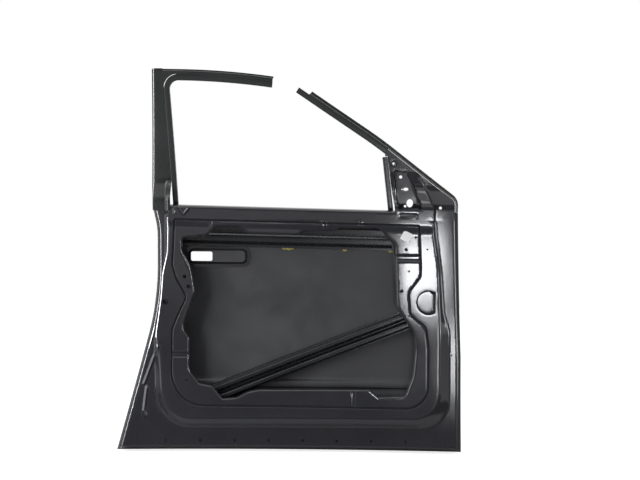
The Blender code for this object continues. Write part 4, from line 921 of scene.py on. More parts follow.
def mirror_panel():
    """Mirror triangle between the rail, the guide and the belt, with a sunk seat for the mirror."""
    outline = flag_outline()
    sheet = Sheet(outline, flag_depth)
    sheet.field(outline, flag_depth)
    foot = belt(DOOR_LENGTH) - FLAG_FOOT_DROP
    for shift in (0, CREASE_WIDTH):
        heights = [foot] + [z for x, z in FLAG_CREASE[1:]]
        line = [Vector((crease_x(z) - shift, z)) for z in heights]
        sheet.loop(line, flag_depth, closed=False)
    seat = rounded(resolve(SEAT_CORNERS))
    sheet.loop(seat, flag_depth)
    floor = offset(seat, -SEAT_DRAFT, closed=True)
    sheet.loop(floor, SEAT_DEPTH)
    sheet.field(floor, SEAT_DEPTH)
    rib = rounded(resolve(RIB_CORNERS))
    sheet.loop(rib, flag_depth)
    sheet.loop(offset(rib, -RIB_DRAFT, closed=True), raised)
    for x, z, radius in resolve(FLAG_HOLES):
        sheet.hole(circle(x, z, radius), SEAT_DEPTH)
    for x, z, across_half, up_half in FLAG_SLOTS:
        sheet.hole(ellipse(DOOR_LENGTH + x, z, across_half, up_half), SEAT_DEPTH)
    sheet.hole(circle(DOOR_LENGTH + FLAG_FACE_HOLE[0], *FLAG_FACE_HOLE[1:]), flag_depth)
    x, z = DOOR_LENGTH + FLAG_BOSS[0], FLAG_BOSS[1]
    sheet.loop(circle(x, z, BOSS_FOOT, BOSS_SIDES), flag_depth)
    sheet.loop(circle(x, z, BOSS_TOP, BOSS_SIDES), raised)
    sheet.hole(circle(x, z, BOSS_HOLE, BOSS_SIDES), raised)
    sheet.fill(MIRROR_PITCH)
    finished("mirror_panel", sheet.bmesh(), thickness=FRAME_SHEET)


def belt_rails():
    """The outer rail that stiffens the skin's top edge, and the inner one behind the belt band."""
    xs = even(RAIL_REAR, DOOR_LENGTH - RAIL_FRONT_SETBACK, RAIL_STEPS)
    outer = [[(x, belt(x) - drop, depth) for x in xs] for drop, depth in OUTER_RAIL_SECTION]
    strip("belt_rail_outer", outer, BRACE_SHEET)
    behind = BELT_BAND_DEPTH - PANEL_SHEET / 2 - GAP - BRACE_SHEET / 2
    xs = even(BAND_REAR + RAIL_SETBACK, BAND_FRONT - RAIL_SETBACK, RAIL_STEPS)
    inner = [[(x, belt(x) - drop, behind - depth) for x in xs] for drop, depth in INNER_RAIL_SECTION]
    strip("belt_rail_inner", inner, BRACE_SHEET)


def beam_path():
    """The rear and the front end of the side beam."""
    return [Vector(BEAM_REAR), Vector((DOOR_LENGTH - BEAM_FRONT_SETBACK, BEAM_FRONT_HEIGHT))]


def side_beam():
    section = [(-across, depth) for across, depth in BEAM_HALF_SECTION]
    section += [(across, depth) for across, depth in reversed(BEAM_HALF_SECTION)]
    strip("side_beam", along(divided(beam_path(), closed=False), section), BEAM_SHEET)


def beam_bracket(name, end, other):
    """Joggled plate from the beam's crown to the back of the inner panel's land."""
    away = (end - other).normalized()
    side = Vector((away.y, -away.x))
    on_beam = BEAM_HALF_SECTION[2][1] + BEAM_SHEET / 2 + GAP + BRACE_SHEET / 2
    on_land = LAND_DEPTH - PANEL_SHEET / 2 - GAP - BRACE_SHEET / 2
    lines = []
    down, up = BRACKET_JOGGLE
    bends = ((-BRACKET_LAP, on_beam), (down, on_beam), (up, on_land), (BRACKET_REACH, on_land))
    for reach, depth in bends:
        middle = end + away * reach
        lines.append([(*(middle + side * BRACKET_HALF_WIDTH * k), depth) for k in (-1, 0, 1)])
    strip(name, lines, BRACE_SHEET)


def jamb_x(z, depth, front):
    """x of the middle of the jamb wall's sheet."""
    if front:
        return front_jamb_x(z, depth)
    share = (depth - FLANGE_DEPTH) / (LAND_DEPTH - FLANGE_DEPTH)
    return rear_edge(z) + JAMB_FOOT + (JAMB_TOP - JAMB_FOOT) * share


def on_jamb(z, depth, front):
    return place(jamb_x(z, depth, front), z, depth)


def jamb_axis(z, depth, front):
    """Direction into the door, square to the jamb wall."""
    up = on_jamb(z + AXIS_UP, depth, front) - on_jamb(z - AXIS_UP, depth, front)
    back = on_jamb(z, depth + AXIS_IN, front) - on_jamb(z, depth, front)
    axis = back.cross(up).normalized()
    return axis if front else -axis


def jamb_cutter():
    """Bolt holes, check strap slot, latch mouth and latch screw holes, all square to the jamb walls."""
    middle = LAND_DEPTH / 2
    cuts = []
    for hinge in (UPPER_HINGE_HEIGHT, LOWER_HINGE_HEIGHT):
        for step in (-1, 1):
            cuts.append((hinge + step * HINGE_NUT_SPACING / 2, middle, HINGE_NUT_HOLE, HINGE_NUT_HOLE, True))
    cuts.append((CHECK_HEIGHT, middle, *CHECK_SLOT, True))
    cuts.append((LATCH_HEIGHT, middle, *LATCH_MOUTH, False))
    for along_z, depth in LATCH_SCREWS:
        cuts.append((LATCH_HEIGHT + along_z, depth, LATCH_SCREW_HOLE, LATCH_SCREW_HOLE, False))
    bm = bmesh.new()
    for z, depth, across, up, front in cuts:
        axis = jamb_axis(z, depth, front)
        start = on_jamb(z, depth, front) - axis * CUT_START
        side = axis.cross(Vector((0, 0, 1))).normalized()
        above = side.cross(axis).normalized()
        rings = []
        for reach in (0, CUT_LENGTH):
            turns = [2 * math.pi * (k + 0.5) / HOLE_SIDES for k in range(HOLE_SIDES)]
            spots = [side * across * math.cos(t) + above * up * math.sin(t) for t in turns]
            rings.append([bm.verts.new(start + axis * reach + spot) for spot in spots])
        bm.faces.new(rings[0])
        bm.faces.new(rings[1][::-1])
        for k in range(HOLE_SIDES):
            n = (k + 1) % HOLE_SIDES
            bm.faces.new((rings[0][k], rings[0][n], rings[1][n], rings[1][k]))
    bmesh.ops.recalc_face_normals(bm, faces=bm.faces)
    return linked("jamb_cutter", bm)


def handle_ring():
    """Flat ring that stiffens the skin round the handle pocket."""
    depth = SKIN_SHEET + 2 * GAP + FRAME_SHEET / 2
    sheet = Sheet(divided(handle_loop(-HANDLE_RING_WIDTH)), depth)
    sheet.hole(handle_loop(-0.0020), depth)
    finished("handle_ring", sheet.bmesh(), thickness=FRAME_SHEET)


def blank_label():
    turn = math.radians(LABEL_TURN)
    middle = Vector((DOOR_LENGTH - LABEL_SETBACK, LABEL_HEIGHT))
    depth = PANEL_DEPTH - INNER_FIELD_DROP + PANEL_SHEET / 2 + GAP + LABEL_THICKNESS / 2
    lines = []
    for up in (-0.5, 0.5):
        line = []
        for right in (-0.5, 0.5):
            x, z = right * LABEL_SIDE, up * LABEL_SIDE
            cos, sin = math.cos(turn), math.sin(turn)
            spot = middle + Vector((x * cos - z * sin, x * sin + z * cos))
            line.append((spot.x, spot.y, depth))
        lines.append(line)
    strip("blank_label", lines, LABEL_THICKNESS)


def linked(name, bm):
    """A new object in the scene, with the form held in bm."""
    mesh_data = bpy.data.meshes.new(name)
    bm.to_mesh(mesh_data)
    bm.free()
    obj = bpy.data.objects.new(name, mesh_data)
    bpy.context.scene.collection.objects.link(obj)
    return obj


def squared_distance(spots, start, run):
    """Of each spot to the piece of line that goes along run from start."""
    share = np.clip(((spots - start) @ run) / max(float(run @ run), 1e-12), 0, 1)
    return ((spots - start - share[:, None] * run) ** 2).sum(axis=1)


def signed_distance(spots, loop):
    """Distance of each spot to a closed line, positive inside it."""
    line = np.array([(p.x, p.y) for p in loop])
    best = np.full(len(spots), 1e9)
    odd = np.zeros(len(spots), bool)
    for a, b in zip(line, np.roll(line, -1, axis=0)):
        run = b - a
        best = np.minimum(best, squared_distance(spots, a, run))
        crosses = (a[1] > spots[:, 1]) != (b[1] > spots[:, 1])
        rise = run[1] if abs(run[1]) > 1e-12 else 1e-12
        odd ^= crosses & (spots[:, 0] < run[0] * (spots[:, 1] - a[1]) / rise + a[0])
    return np.where(odd, 1, -1) * np.sqrt(best)


def eased(share):
    share = np.clip(share, 0, 1)
    return share * share * (3 - 2 * share)


def swell(share):
    """1 where share is 0, falling smoothly to 0 at 1 and -1."""
    return 0.5 * (1 + np.cos(math.pi * np.clip(share, -1, 1)))


def ramp(share, soft):
    """0 to 1 as share goes from 0 to 1, straight in between, with both bends rounded over +-soft."""
    low = (share + soft) ** 2 / (4 * soft)
    high = 1 - (1 + soft - share) ** 2 / (4 * soft)
    made = np.where(share < soft, low, np.where(share > 1 - soft, high, share))
    return np.where(share < -soft, 0, np.where(share > 1 + soft, 1, made))


def slope_between(spots, outer, inner, radius):
    """Share of the way from the outer line to the inner one."""
    start = signed_distance(spots, outer)
    width = np.maximum(start - signed_distance(spots, inner), 1e-4)
    return ramp(start / width, np.minimum(0.35, radius / width))


def line_distance(spots, line):
    """Distance of each spot to an open line."""
    best = np.full(len(spots), 1e9)
    for a, b in zip(line, line[1:]):
        best = np.minimum(best, squared_distance(spots, np.array(a), np.array(b - a)))
    return np.sqrt(best)


def pressing(name, outer, holes, lines, depths, pitch, sheet, rings=None, then=None, open_lines=()):
    """A finely meshed sheet: depths(spots) gives its form, and rings go on outside its outer line."""
    points, edges = [], []

    def add(loop, closed=True):
        first = len(points)
        points.extend(loop)
        count = len(loop)
        edges.extend((first + i, first + (i + 1) % count) for i in range(count if closed else count - 1))

    for loop in [outer] + holes + lines:
        add(loop)
    for line in open_lines:
        add(line, closed=False)
    xs, zs = [p.x for p in outer], [p.y for p in outer]
    grid_x = np.arange(min(xs) + pitch, max(xs), pitch)
    grid_z = np.arange(min(zs) + pitch, max(zs), pitch * ROW_PITCH)
    spots = np.array([(x + (j % 2) * pitch / 2, z) for j, z in enumerate(grid_z) for x in grid_x])
    spots = spots[signed_distance(spots, outer) > EDGE_CLEAR * pitch]
    for loop in holes + lines:
        spots = spots[np.abs(signed_distance(spots, loop)) > LOOP_CLEAR * pitch]
    for line in open_lines:
        spots = spots[line_distance(spots, line) > LINE_CLEAR * pitch]
    for loop in holes:
        spots = spots[signed_distance(spots, loop) < 0]
    points.extend(Vector(spot) for spot in spots)
    verts, _, faces, origins, _, _ = delaunay_2d_cdt(points, edges, [], 0, 1e-6)
    flat = np.array([(v.x, v.y) for v in verts])
    tris = np.array(faces)
    middles = flat[tris].mean(axis=1)
    solid = signed_distance(middles, outer) > 0
    for loop in holes:
        solid &= signed_distance(middles, loop) < 0
    a, b, c = flat[tris[:, 0]], flat[tris[:, 1]], flat[tris[:, 2]]
    area = (b[:, 0] - a[:, 0]) * (c[:, 1] - a[:, 1]) - (b[:, 1] - a[:, 1]) * (c[:, 0] - a[:, 0])
    solid &= area > 1e-9
    deep = depths(flat)
    bm = bmesh.new()
    made = [bm.verts.new(place(x, z, d)) for (x, z), d in zip(flat, deep)]
    for i, j, k in tris[solid]:
        bm.faces.new((made[i], made[j], made[k]))
    if rings:
        inner = [None] * len(outer)
        for i, spot in enumerate(origins):
            for o in spot:
                if o < len(outer):
                    inner[o] = made[i]
        for ring in rings:
            following = [bm.verts.new(place(*spot)) for spot in ring]
            for k in range(len(ring)):
                n = (k + 1) % len(ring)
                if then is None or then(outer[k], outer[n]):
                    bm.faces.new((inner[k], following[k], following[n], inner[n]))
            inner = following
    for vert in [v for v in bm.verts if not v.link_faces]:
        bm.verts.remove(vert)
    bmesh.ops.recalc_face_normals(bm, faces=bm.faces)
    return finished(name, bm, thickness=sheet)


# Rings round the inner panel's edge, from the land's rim down the jamb wall and out over the hem flange,
# as (inset from the door's edge, depth, drop below the belt, how far it stays under the belt band)
JAMB_RINGS = (
    (0.01890, 0.0495, 0.0088, 0.0002), (0.01780, 0.0485, 0.0078, 0.0006),
    (0.01710, 0.0470, 0.0070, 0.0010), (0.01675, 0.0445, 0.0064, 0.0015),
    (0.01610, 0.0300, 0.0058, 0.0021), (0.01530, 0.0160, 0.0053, 0.0026),
    (0.01460, 0.0045, 0.0048, 0.0033), (0.01430, 0.0030, 0.0042, 0.0045),
    (0.01360, 0.0022, 0.0036, 0.0060), (0.01250, 0.00185, 0.0030, 0.0085),
    (0.00900, 0.0018, 0.0018, 0.0140), (0.00150, 0.0018, 0.0000, 0.0230),
)
LAND_INSET = 0.0203
LAND_DROP = 0.010
RIM_STEP = 0.0035
MARK_STEP = 0.008
SKIN_TRIM = 0.00014
STEP_BEND = 0.004

# Softness of the bends at the foot and the head of each slope, in shares of the slope
POCKET_SOFT = 0.35
EMBOSS_SOFT = 0.45
SWAGE_SOFT = 0.35
HANDLE_SOFT = 0.3

# Lines that mesh the slopes finely: distances beside a step and a rim, shares of a slope's width, and the
# angles of the hem's fold
STEP_SHIFTS = (-0.0035, -0.0015, 0.0, 0.0015, 0.0035)
BEAD_SHIFTS = tuple(0.001 * k for k in range(9))
RIM_SHIFTS = (0.0003, 0.0009, 0.0018, 0.0030, 0.0045, 0.0060)
POCKET_SHARES = (-0.35, -0.1, 0.15, 0.4, 0.65, 0.9, 1.1, 1.35)
DRAFT_SHARES = (-0.3, 0.1, 0.5, 0.9, 1.3)
HANDLE_SHARES = (-0.3, 0.0, 0.3, 0.65, 1.0, 1.3)
CREASE_SHARES = (0.35, 0.7, 1.0)
HEM_TURNS = (30, 60, 90, 120, 150, 180)


def wall_line(inset, depth, drop):
    """Line round the jamb walls: on the front side it follows the flat wall there."""
    nominal = JAMB_FOOT + (JAMB_TOP - JAMB_FOOT) * (depth - FLANGE_DEPTH) / (LAND_DEPTH - FLANGE_DEPTH)
    return body_line(inset, inset, inset - nominal, drop, depth)


def jamb_ring(inset, depth, drop, below):
    """One ring of JAMB_RINGS. Along the belt it rises on to the belt band between the upper corners."""
    ring = []
    for p in wall_line(inset, depth, drop):
        corner = min(p.x - REAR_TOP, front_edge(BELT_FRONT) - p.x)
        share = 0.0
        if p.y > belt(p.x) - drop - 0.0005:
            share = float(eased((corner - CORNER_START * CORNER_REACH) / (CORNER_SPAN * CORNER_REACH)))
        level = LAND_DEPTH + (BELT_BAND_DEPTH - LAND_DEPTH) * band_share(p.x) - below
        ring.append((p.x, p.y, depth + (level - depth) * share))
    return ring


def top_share(x, z):
    """0 below the belt band and 1 in it, smoothly between."""
    return eased((z - (belt(x) - BAND_HEIGHT - BAND_BLEND)) / BAND_BLEND)


def panel_form(spots):
    """Depth of the inner panel inside its jamb walls."""
    x, z = spots.T
    top = top_share(x, z)
    rear, front = (x - LAND_REAR) / (BAND_REAR - LAND_REAR), (LAND_FRONT - x) / (LAND_FRONT - BAND_FRONT)
    band = np.clip(np.minimum(rear, front), 0, 1)
    land = LAND_DEPTH + (BELT_BAND_DEPTH - LAND_DEPTH) * top * band
    main = PANEL_DEPTH + (BELT_BAND_DEPTH - PANEL_DEPTH) * top
    rise = slope_between(spots, panel_loop(STEP_CORNERS), panel_loop(MAIN_CORNERS), STEP_BEND)
    depth = land + (main - land) * rise
    bead = signed_distance(spots, panel_loop(BEAD_CORNERS))
    depth -= BEAD_DROP * swell((bead - DRAFT) / DRAFT)
    depth -= INNER_FIELD_DROP * (1 - swell(np.maximum(bead - DRAFT, 0) / DRAFT))
    lip = np.clip(1 + signed_distance(spots, panel_loop(OPENING_CORNERS)) / LIP_REACH, 0, 1)
    depth -= OPENING_FLANGE_DROP * (1 - np.sqrt(1 - lip**2))
    pocket = signed_distance(spots, pocket_loop(POCKET_RADIUS)) / DRAFT
    depth -= POCKET_DROP * ramp(pocket, POCKET_SOFT)
    for corners, height, draft in EMBOSSES:
        loop = rounded(resolve(corners))
        depth += height * ramp(signed_distance(spots, loop) / draft, EMBOSS_SOFT)
    for points, half, height in CREASES:
        away = line_distance(spots, divided(rounded(resolve(points), closed=False), closed=False))
        depth += height * swell(away / half)
    return depth


def steps_round(corners, shifts):
    """Lines beside the corners' loop, to mesh the slope there."""
    return [panel_loop(corners, -shift) for shift in shifts]


def fine_inner_panel():
    """The pressed inner panel, with its jamb walls, hem flange, holes and turned opening."""
    outer = wall_line(LAND_INSET, LAND_DEPTH, LAND_DROP)
    lines = steps_round(STEP_CORNERS, STEP_SHIFTS) + steps_round(MAIN_CORNERS, STEP_SHIFTS)
    lines += steps_round(BEAD_CORNERS, BEAD_SHIFTS)
    rim = divided(panel_loop(OPENING_CORNERS), step=RIM_STEP)
    lines += [offset(rim, -k, closed=True) for k in RIM_SHIFTS]
    lines += [pocket_loop(POCKET_RADIUS - DRAFT * k) for k in POCKET_SHARES]
    for corners, height, draft in EMBOSSES:
        loop = rounded(resolve(corners))
        lines += [offset(loop, -draft * k, closed=True) for k in DRAFT_SHARES]
    marks = []
    for points, half, _ in CREASES:
        middle = divided(rounded(resolve(points), closed=False), closed=False, step=MARK_STEP)
        marks.append(middle)
        for k in CREASE_SHARES:
            marks += [offset(middle, half * k), offset(middle, -half * k)]
    holes = [rim]
    holes += [circle(x, z, radius) for x, z, radius in resolve(PANEL_HOLES)]
    holes += [
        circle(SILL_HOLE_FIRST + k * SILL_HOLE_PITCH, SILL_HOLE_HEIGHT, SMALL_HOLE)
        for k in range(SILL_HOLE_COUNT)
    ]
    rings = [jamb_ring(*ring) for ring in JAMB_RINGS]
    made = pressing(
        "inner_panel", outer, holes, lines, panel_form, FINE_PITCH, PANEL_SHEET, rings, open_lines=marks
    )
    cut_away(made, jamb_cutter())


def skin_form(spots):
    """Depth of the skin behind its curve."""
    x, z = spots.T
    depth = np.full(len(spots), SKIN_MIDDLE)
    low, high = SWAGE_BOTTOM - DRAFT, SWAGE_TOP + DRAFT
    across = np.minimum(x - SWAGE_END + DRAFT, DOOR_LENGTH - SWAGE_END + DRAFT - x) / DRAFT
    up = np.minimum(z - low, high - z) / DRAFT
    depth += SWAGE_DEPTH * ramp(np.minimum(across, up), SWAGE_SOFT)
    depth += HANDLE_BOWL_DEPTH * ramp(signed_distance(spots, handle_loop(0)) / DRAFT, HANDLE_SOFT)
    return depth


def fine_outer_skin():
    """The outer skin, with the handle's recess and opening, the swage and the folded hem."""
    edge = body_line(0, 0, 0, 0)
    lines = [handle_loop(DRAFT * k) for k in HANDLE_SHARES]
    for k in DRAFT_SHARES:
        low, high = SWAGE_BOTTOM - DRAFT * (1 - k), SWAGE_TOP + DRAFT * (1 - k)
        rear, front = SWAGE_END - DRAFT * (1 - k), DOOR_LENGTH - SWAGE_END + DRAFT * (1 - k)
        corners = ((rear, low), (front, low), (front, high), (rear, high))
        lines.append(divided([Vector(c) for c in corners]))
    hole = handle_loop(2 * DRAFT, HANDLE_HOLE_FRONT)
    half = (RETURN_DEPTH - SKIN_MIDDLE) / 2
    rings = []
    for turn in HEM_TURNS:
        cos, sin = math.cos(math.radians(turn)), math.sin(math.radians(turn))
        line = body_line(half * (1 - sin), half * (1 - sin), half * (1 - sin), 0)
        rings.append([(p.x, p.y, SKIN_MIDDLE + half * (1 - cos)) for p in line])
    rings.append([(p.x, p.y, RETURN_DEPTH) for p in body_line(HEM_WIDTH, HEM_WIDTH, HEM_WIDTH, 0)])
    outer = body_line(half, half, half, 0)

    def folded(start, end):
        return not (on_belt(start) and on_belt(end))

    sheet = SKIN_SHEET - SKIN_TRIM
    pressing("outer_skin", outer, [hole], lines, skin_form, SKIN_PITCH, sheet, rings, folded)


def bent(line, radius, steps):
    """The line of (x, z, depth) with each inner corner rounded."""
    spots = [Vector(p) for p in line]
    made = [spots[0]]
    for before, here, after in zip(spots, spots[1:], spots[2:]):
        start = here + (before - here).normalized() * min(radius, BEND_SHARE * (before - here).length)
        end = here + (after - here).normalized() * min(radius, BEND_SHARE * (after - here).length)
        for k in range(steps + 1):
            t = k / steps
            made.append(start * (1 - t) ** 2 + here * 2 * t * (1 - t) + end * t * t)
    return made + [spots[-1]]


def strip(name, lines, thickness, radius=None):
    """A sheet lofted over lines of (x, z, depth), with its bends rounded."""
    bm = bmesh.new()
    across = [bent(section, radius or BEND_RADIUS, BEND_STEPS) for section in zip(*lines)]
    rows = [[bm.verts.new(place(*point)) for point in section] for section in across]
    for row, following in zip(rows, rows[1:]):
        for i in range(len(row) - 1):
            bm.faces.new((row[i], following[i], following[i + 1], row[i + 1]))
    finished(name, bm, thickness)


def bake(obj):
    """Makes the object's modifiers part of its mesh."""
    before = obj.data
    made = bpy.data.meshes.new_from_object(obj.evaluated_get(bpy.context.evaluated_depsgraph_get()))
    obj.modifiers.clear()
    obj.data = made
    bpy.data.meshes.remove(before)


def smooth(obj):
    obj.data.shade_smooth()
    obj.data.set_sharp_from_angle(angle=SHARP_ANGLE)


def cut_away(obj, cutter):
    cut = obj.modifiers.new("holes", "BOOLEAN")
    cut.operation = "DIFFERENCE"
    cut.solver = "EXACT"
    cut.object = cutter
    bake(obj)
    smooth(obj)
    bpy.data.objects.remove(cutter)


def finished(name, bm, thickness=0.0):
    """A piece that stands for the part's node of the same name."""
    if thickness == 0:
        bmesh.ops.recalc_face_normals(bm, faces=bm.faces)
    obj = linked("formed_" + name, bm)
    if thickness:
        solid = obj.modifiers.new("sheet", "SOLIDIFY")
        solid.thickness = thickness
        solid.offset = 0
        solid.use_even_offset = False
        solid.use_quality_normals = True
        bake(obj)
    smooth(obj)
    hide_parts(name)
    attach(obj, "root")
    return obj


def squeezed_dabs():
    """Mastic between the skin and the outer rail, with the lumpy roll squeezed out under the rail's edge."""
    (edge, depth), (other, _) = OUTER_RAIL_SECTION[0], OUTER_RAIL_SECTION[1]
    low, high = SKIN_SHEET + 2 * GAP, depth - BRACE_SHEET / 2 - GAP
    edge, drop = max(edge, other), (edge + other) / 2
    for i, (middle, length) in enumerate(GLUE_DABS):
        bm = bmesh.new()
        rows = []
        for k in range(DAB_ROWS + 1):
            share = 2 * k / DAB_ROWS - 1
            x = middle + share * length / 2
            full = max(DAB_TIP, math.sqrt(1 - abs(share) ** 3))
            lump = full * (1 + 0.16 * math.sin(7 * share + i) + 0.08 * math.sin(17 * share))
            top = belt(x) - drop + GLUE_WIDTH / 2 * full
            foot = belt(x) - edge - GAP
            section = [(top, low), (top, high), (foot, high)]
            for angle in range(0, 181, 30):
                turn = math.radians(angle)
                section.append((
                    foot - DAB_SQUEEZE * lump * math.sin(turn / 2),
                    low + (high - low + DAB_BULGE * lump * math.sin(turn)) * (1 + math.cos(turn)) / 2,
                ))
            rows.append([bm.verts.new(place(x, z, deep)) for z, deep in section])
        for row, following in zip(rows, rows[1:]):
            for a in range(len(row)):
                b = (a + 1) % len(row)
                bm.faces.new((row[a], row[b], following[b], following[a]))
        bm.faces.new(rows[0])
        bm.faces.new(reversed(rows[-1]))
        bmesh.ops.remove_doubles(bm, verts=bm.verts, dist=1e-6)
        finished(f"glue_dab_{i + 1}", bm)


# Smaller forms of the inner panel: raised and sunk fields as (corners, height, draft)
EMBOSSES = [
    ([(0.288, 0.660, 0.004), (0.652, 0.660, 0.004), (0.652, 0.731, 0.004), (0.300, 0.731, 0.004)],
     0.0035, 0.009),
    ([(-0.232, 0.606, 0.003), (-0.137, 0.606, 0.003), (-0.137, 0.628, 0.003), (-0.232, 0.628, 0.003)],
     -0.003, 0.004),
    ([(0.178, 0.297, 0.003), (0.245, 0.297, 0.003), (0.245, 0.316, 0.003), (0.178, 0.316, 0.003)],
     -0.0025, 0.004),
    ([(0.742, 0.145, 0.002), (0.758, 0.145, 0.002), (0.758, 0.215, 0.002), (0.742, 0.215, 0.002)],
     -0.001, 0.003),
]
# and ridges (or grooves, where the height is negative) as (corners, half width, height)
CREASES = [
    ([(0.648, 0.702, 0), (0.648, 0.731, 0)], 0.0055, 0.0022),
    ([(0.664, 0.702, 0), (0.664, 0.731, 0)], 0.0055, 0.0022),
    ([(0.765, 0.712, 0), (0.765, 0.731, 0)], 0.0050, 0.0020),
    ([(0.136, 0.335, 0), (0.118, 0.298, 0.2), (0.098, 0.240, 0.2), (0.088, 0.212, 0)], 0.0070, 0.0040),
    ([(0.098, 0.204, 0), (0.094, 0.170, 0.1), (0.090, 0.128, 0.02), (0.094, 0.112, 0)], 0.0070, 0.0040),
    ([(0.122, 0.395, 0), (0.102, 0.330, 0.3), (0.082, 0.268, 0.3), (0.069, 0.214, 0)], 0.0050, 0.0030),
    ([(0.067, 0.204, 0), (0.058, 0.165, 0.3), (0.050, 0.128, 0)], 0.0070, 0.0030),
    ([(0.124, 0.188, 0), (0.134, 0.155, 0.08), (0.164, 0.118, 0)], 0.0040, -0.0018),
    ([(0.198, 0.771, 0), (0.2126, 0.748, 0.002), (0.231, 0.770, 0)], 0.0050, 0.0035),
    ([(0.184, 0.764, 0), (0.184, 0.750, 0)], 0.0040, 0.0030),
]


def noise(tree, scale, detail=3.0, rough=0.5):
    coordinates = tree.nodes.get("Texture Coordinate") or tree.nodes.new("ShaderNodeTexCoord")
    made = tree.nodes.new("ShaderNodeTexNoise")
    made.inputs["Scale"].default_value = scale
    made.inputs["Detail"].default_value = detail
    made.inputs["Roughness"].default_value = rough
    tree.links.new(coordinates.outputs["Object"], made.inputs["Vector"])
    return made.outputs["Fac"]


def spread(tree, fac, low, high, start=0.3, end=0.7):
    """A value between low and high as fac goes from start to end."""
    made = tree.nodes.new("ShaderNodeMapRange")
    tree.links.new(fac, made.inputs["Value"])
    for key, value in (("From Min", start), ("From Max", end), ("To Min", low), ("To Max", high)):
        made.inputs[key].default_value = value
    return made.outputs["Result"]


def blend_colors(tree, fac, first, second):
    made = tree.nodes.new("ShaderNodeMix")
    made.data_type = "RGBA"
    tree.links.new(fac, made.inputs["Factor"])
    for key, value in ((6, first), (7, second)):
        if isinstance(value, tuple):
            made.inputs[key].default_value = value
        else:
            tree.links.new(value, made.inputs[key])
    return made.outputs[2]


def bumped(tree, shader, height, strength, distance):
    made = tree.nodes.new("ShaderNodeBump")
    made.inputs["Strength"].default_value = strength
    made.inputs["Distance"].default_value = distance
    tree.links.new(height, made.inputs["Height"])
    tree.links.new(made.outputs["Normal"], shader.inputs["Normal"])


def new_finish(name):
    """A new material, with its nodes and its shader."""
    made = bpy.data.materials.new(name)
    made.use_nodes = True
    return made, made.node_tree, made.node_tree.nodes["Principled BSDF"]


def ecoat(name, tone, dusty, low, high, ripple=0.03):
    """Dipped black primer: an even film with a fine ripple, cloudy gloss and a little dust."""
    made, tree, shader = new_finish(name)
    clouds = noise(tree, 9.0, 4.0)
    dust = spread(tree, noise(tree, 140.0, 6.0, 0.7), 0.0, 1.0, 0.52, 0.75)
    film = blend_colors(tree, clouds, tone, tuple(c * 1.35 for c in tone[:3]) + (1.0,))
    tree.links.new(blend_colors(tree, dust, film, dusty), shader.inputs["Base Color"])
    tree.links.new(spread(tree, clouds, low, high), shader.inputs["Roughness"])
    bumped(tree, shader, noise(tree, 420.0, 2.0), ripple, 0.0003)
    return made


def mastic(name):
    """Cured yellow mastic: uneven in colour and lumpy."""
    made, tree, shader = new_finish(name)
    patches = noise(tree, 300.0, 4.0)
    color = blend_colors(tree, patches, (0.42, 0.33, 0.05, 1), (0.22, 0.18, 0.03, 1))
    tree.links.new(color, shader.inputs["Base Color"])
    tree.links.new(spread(tree, patches, 0.45, 0.7), shader.inputs["Roughness"])
    bumped(tree, shader, noise(tree, 500.0, 5.0), 0.6, 0.0008)
    return made


def paper(name):
    """White label paper with a fine grain."""
    made, tree, shader = new_finish(name)
    grain = noise(tree, 900.0, 5.0)
    color = blend_colors(tree, grain, (0.92, 0.92, 0.92, 1), (0.84, 0.84, 0.84, 1))
    tree.links.new(color, shader.inputs["Base Color"])
    tree.links.new(spread(tree, grain, 0.5, 0.65), shader.inputs["Roughness"])
    bumped(tree, shader, grain, 0.15, 0.0001)
    return made


def dress():
    """Gives every piece of the part its finish."""
    looks = {
        "body": ecoat("ecoat_body", (0.0290, 0.0290, 0.0330, 1), (0.042, 0.042, 0.046, 1), 0.07, 0.12),
        "skin": ecoat("ecoat_skin", (0.012, 0.0125, 0.0150, 1), (0.022, 0.022, 0.025, 1), 0.40, 0.52, 0.06),
        "frame": ecoat("ecoat_frame", (0.0150, 0.0165, 0.0165, 1), (0.024, 0.025, 0.025, 1), 0.17, 0.25),
        "beam": ecoat("ecoat_beam", (0.010, 0.0105, 0.012, 1), (0.018, 0.019, 0.020, 1), 0.20, 0.28),
        "steel": ecoat("ecoat_fittings", (0.014, 0.014, 0.015, 1), (0.03, 0.03, 0.031, 1), 0.28, 0.40, 0.08),
        "mastic": mastic("yellow_mastic"),
        "paper": paper("label_paper"),
    }
    starts = {
        "outer_skin": "skin", "frame_": "frame", "glass_": "frame", "belt_rail": "beam", "side_beam": "beam",
        "beam_": "beam", "hinge_": "steel", "check_": "steel", "latch_": "steel", "glue_": "mastic",
        "blank_": "paper",
    }
    for obj in bpy.data.objects:
        if obj.type != "MESH" or obj.name.startswith("stage_"):
            continue
        plain = obj.name.removeprefix("formed_")
        look = next((looks[key] for start, key in starts.items() if plain.startswith(start)), looks["body"])
        if not obj.data.materials:
            obj.data.materials.append(look)
        for slot in obj.material_slots:
            slot.material = look


def camera():
    data = bpy.data.cameras.new("camera")
    data.lens = CAMERA_LENS
    data.sensor_width = CAMERA_SENSOR
    obj = bpy.data.objects.new("camera", data)
    turn = Matrix.Rotation(math.pi / 2, 4, "X") @ Matrix.Rotation(math.radians(CAMERA_ROLL), 4, "Z")
    obj.matrix_world = Matrix.Translation(CAMERA_PLACE) @ turn
    bpy.context.scene.collection.objects.link(obj)
    bpy.context.scene.camera = obj


def aimed(spot, target):
    """A place at the spot that looks at the target."""
    aim = (Vector(target) - Vector(spot)).to_track_quat("-Z", "Y")
    return Matrix.Translation(spot) @ aim.to_matrix().to_4x4()


def square(name, side):
    """A flat square in the scene."""
    bm = bmesh.new()
    bmesh.ops.create_grid(bm, x_segments=1, y_segments=1, size=side / 2)
    return linked(name, bm)


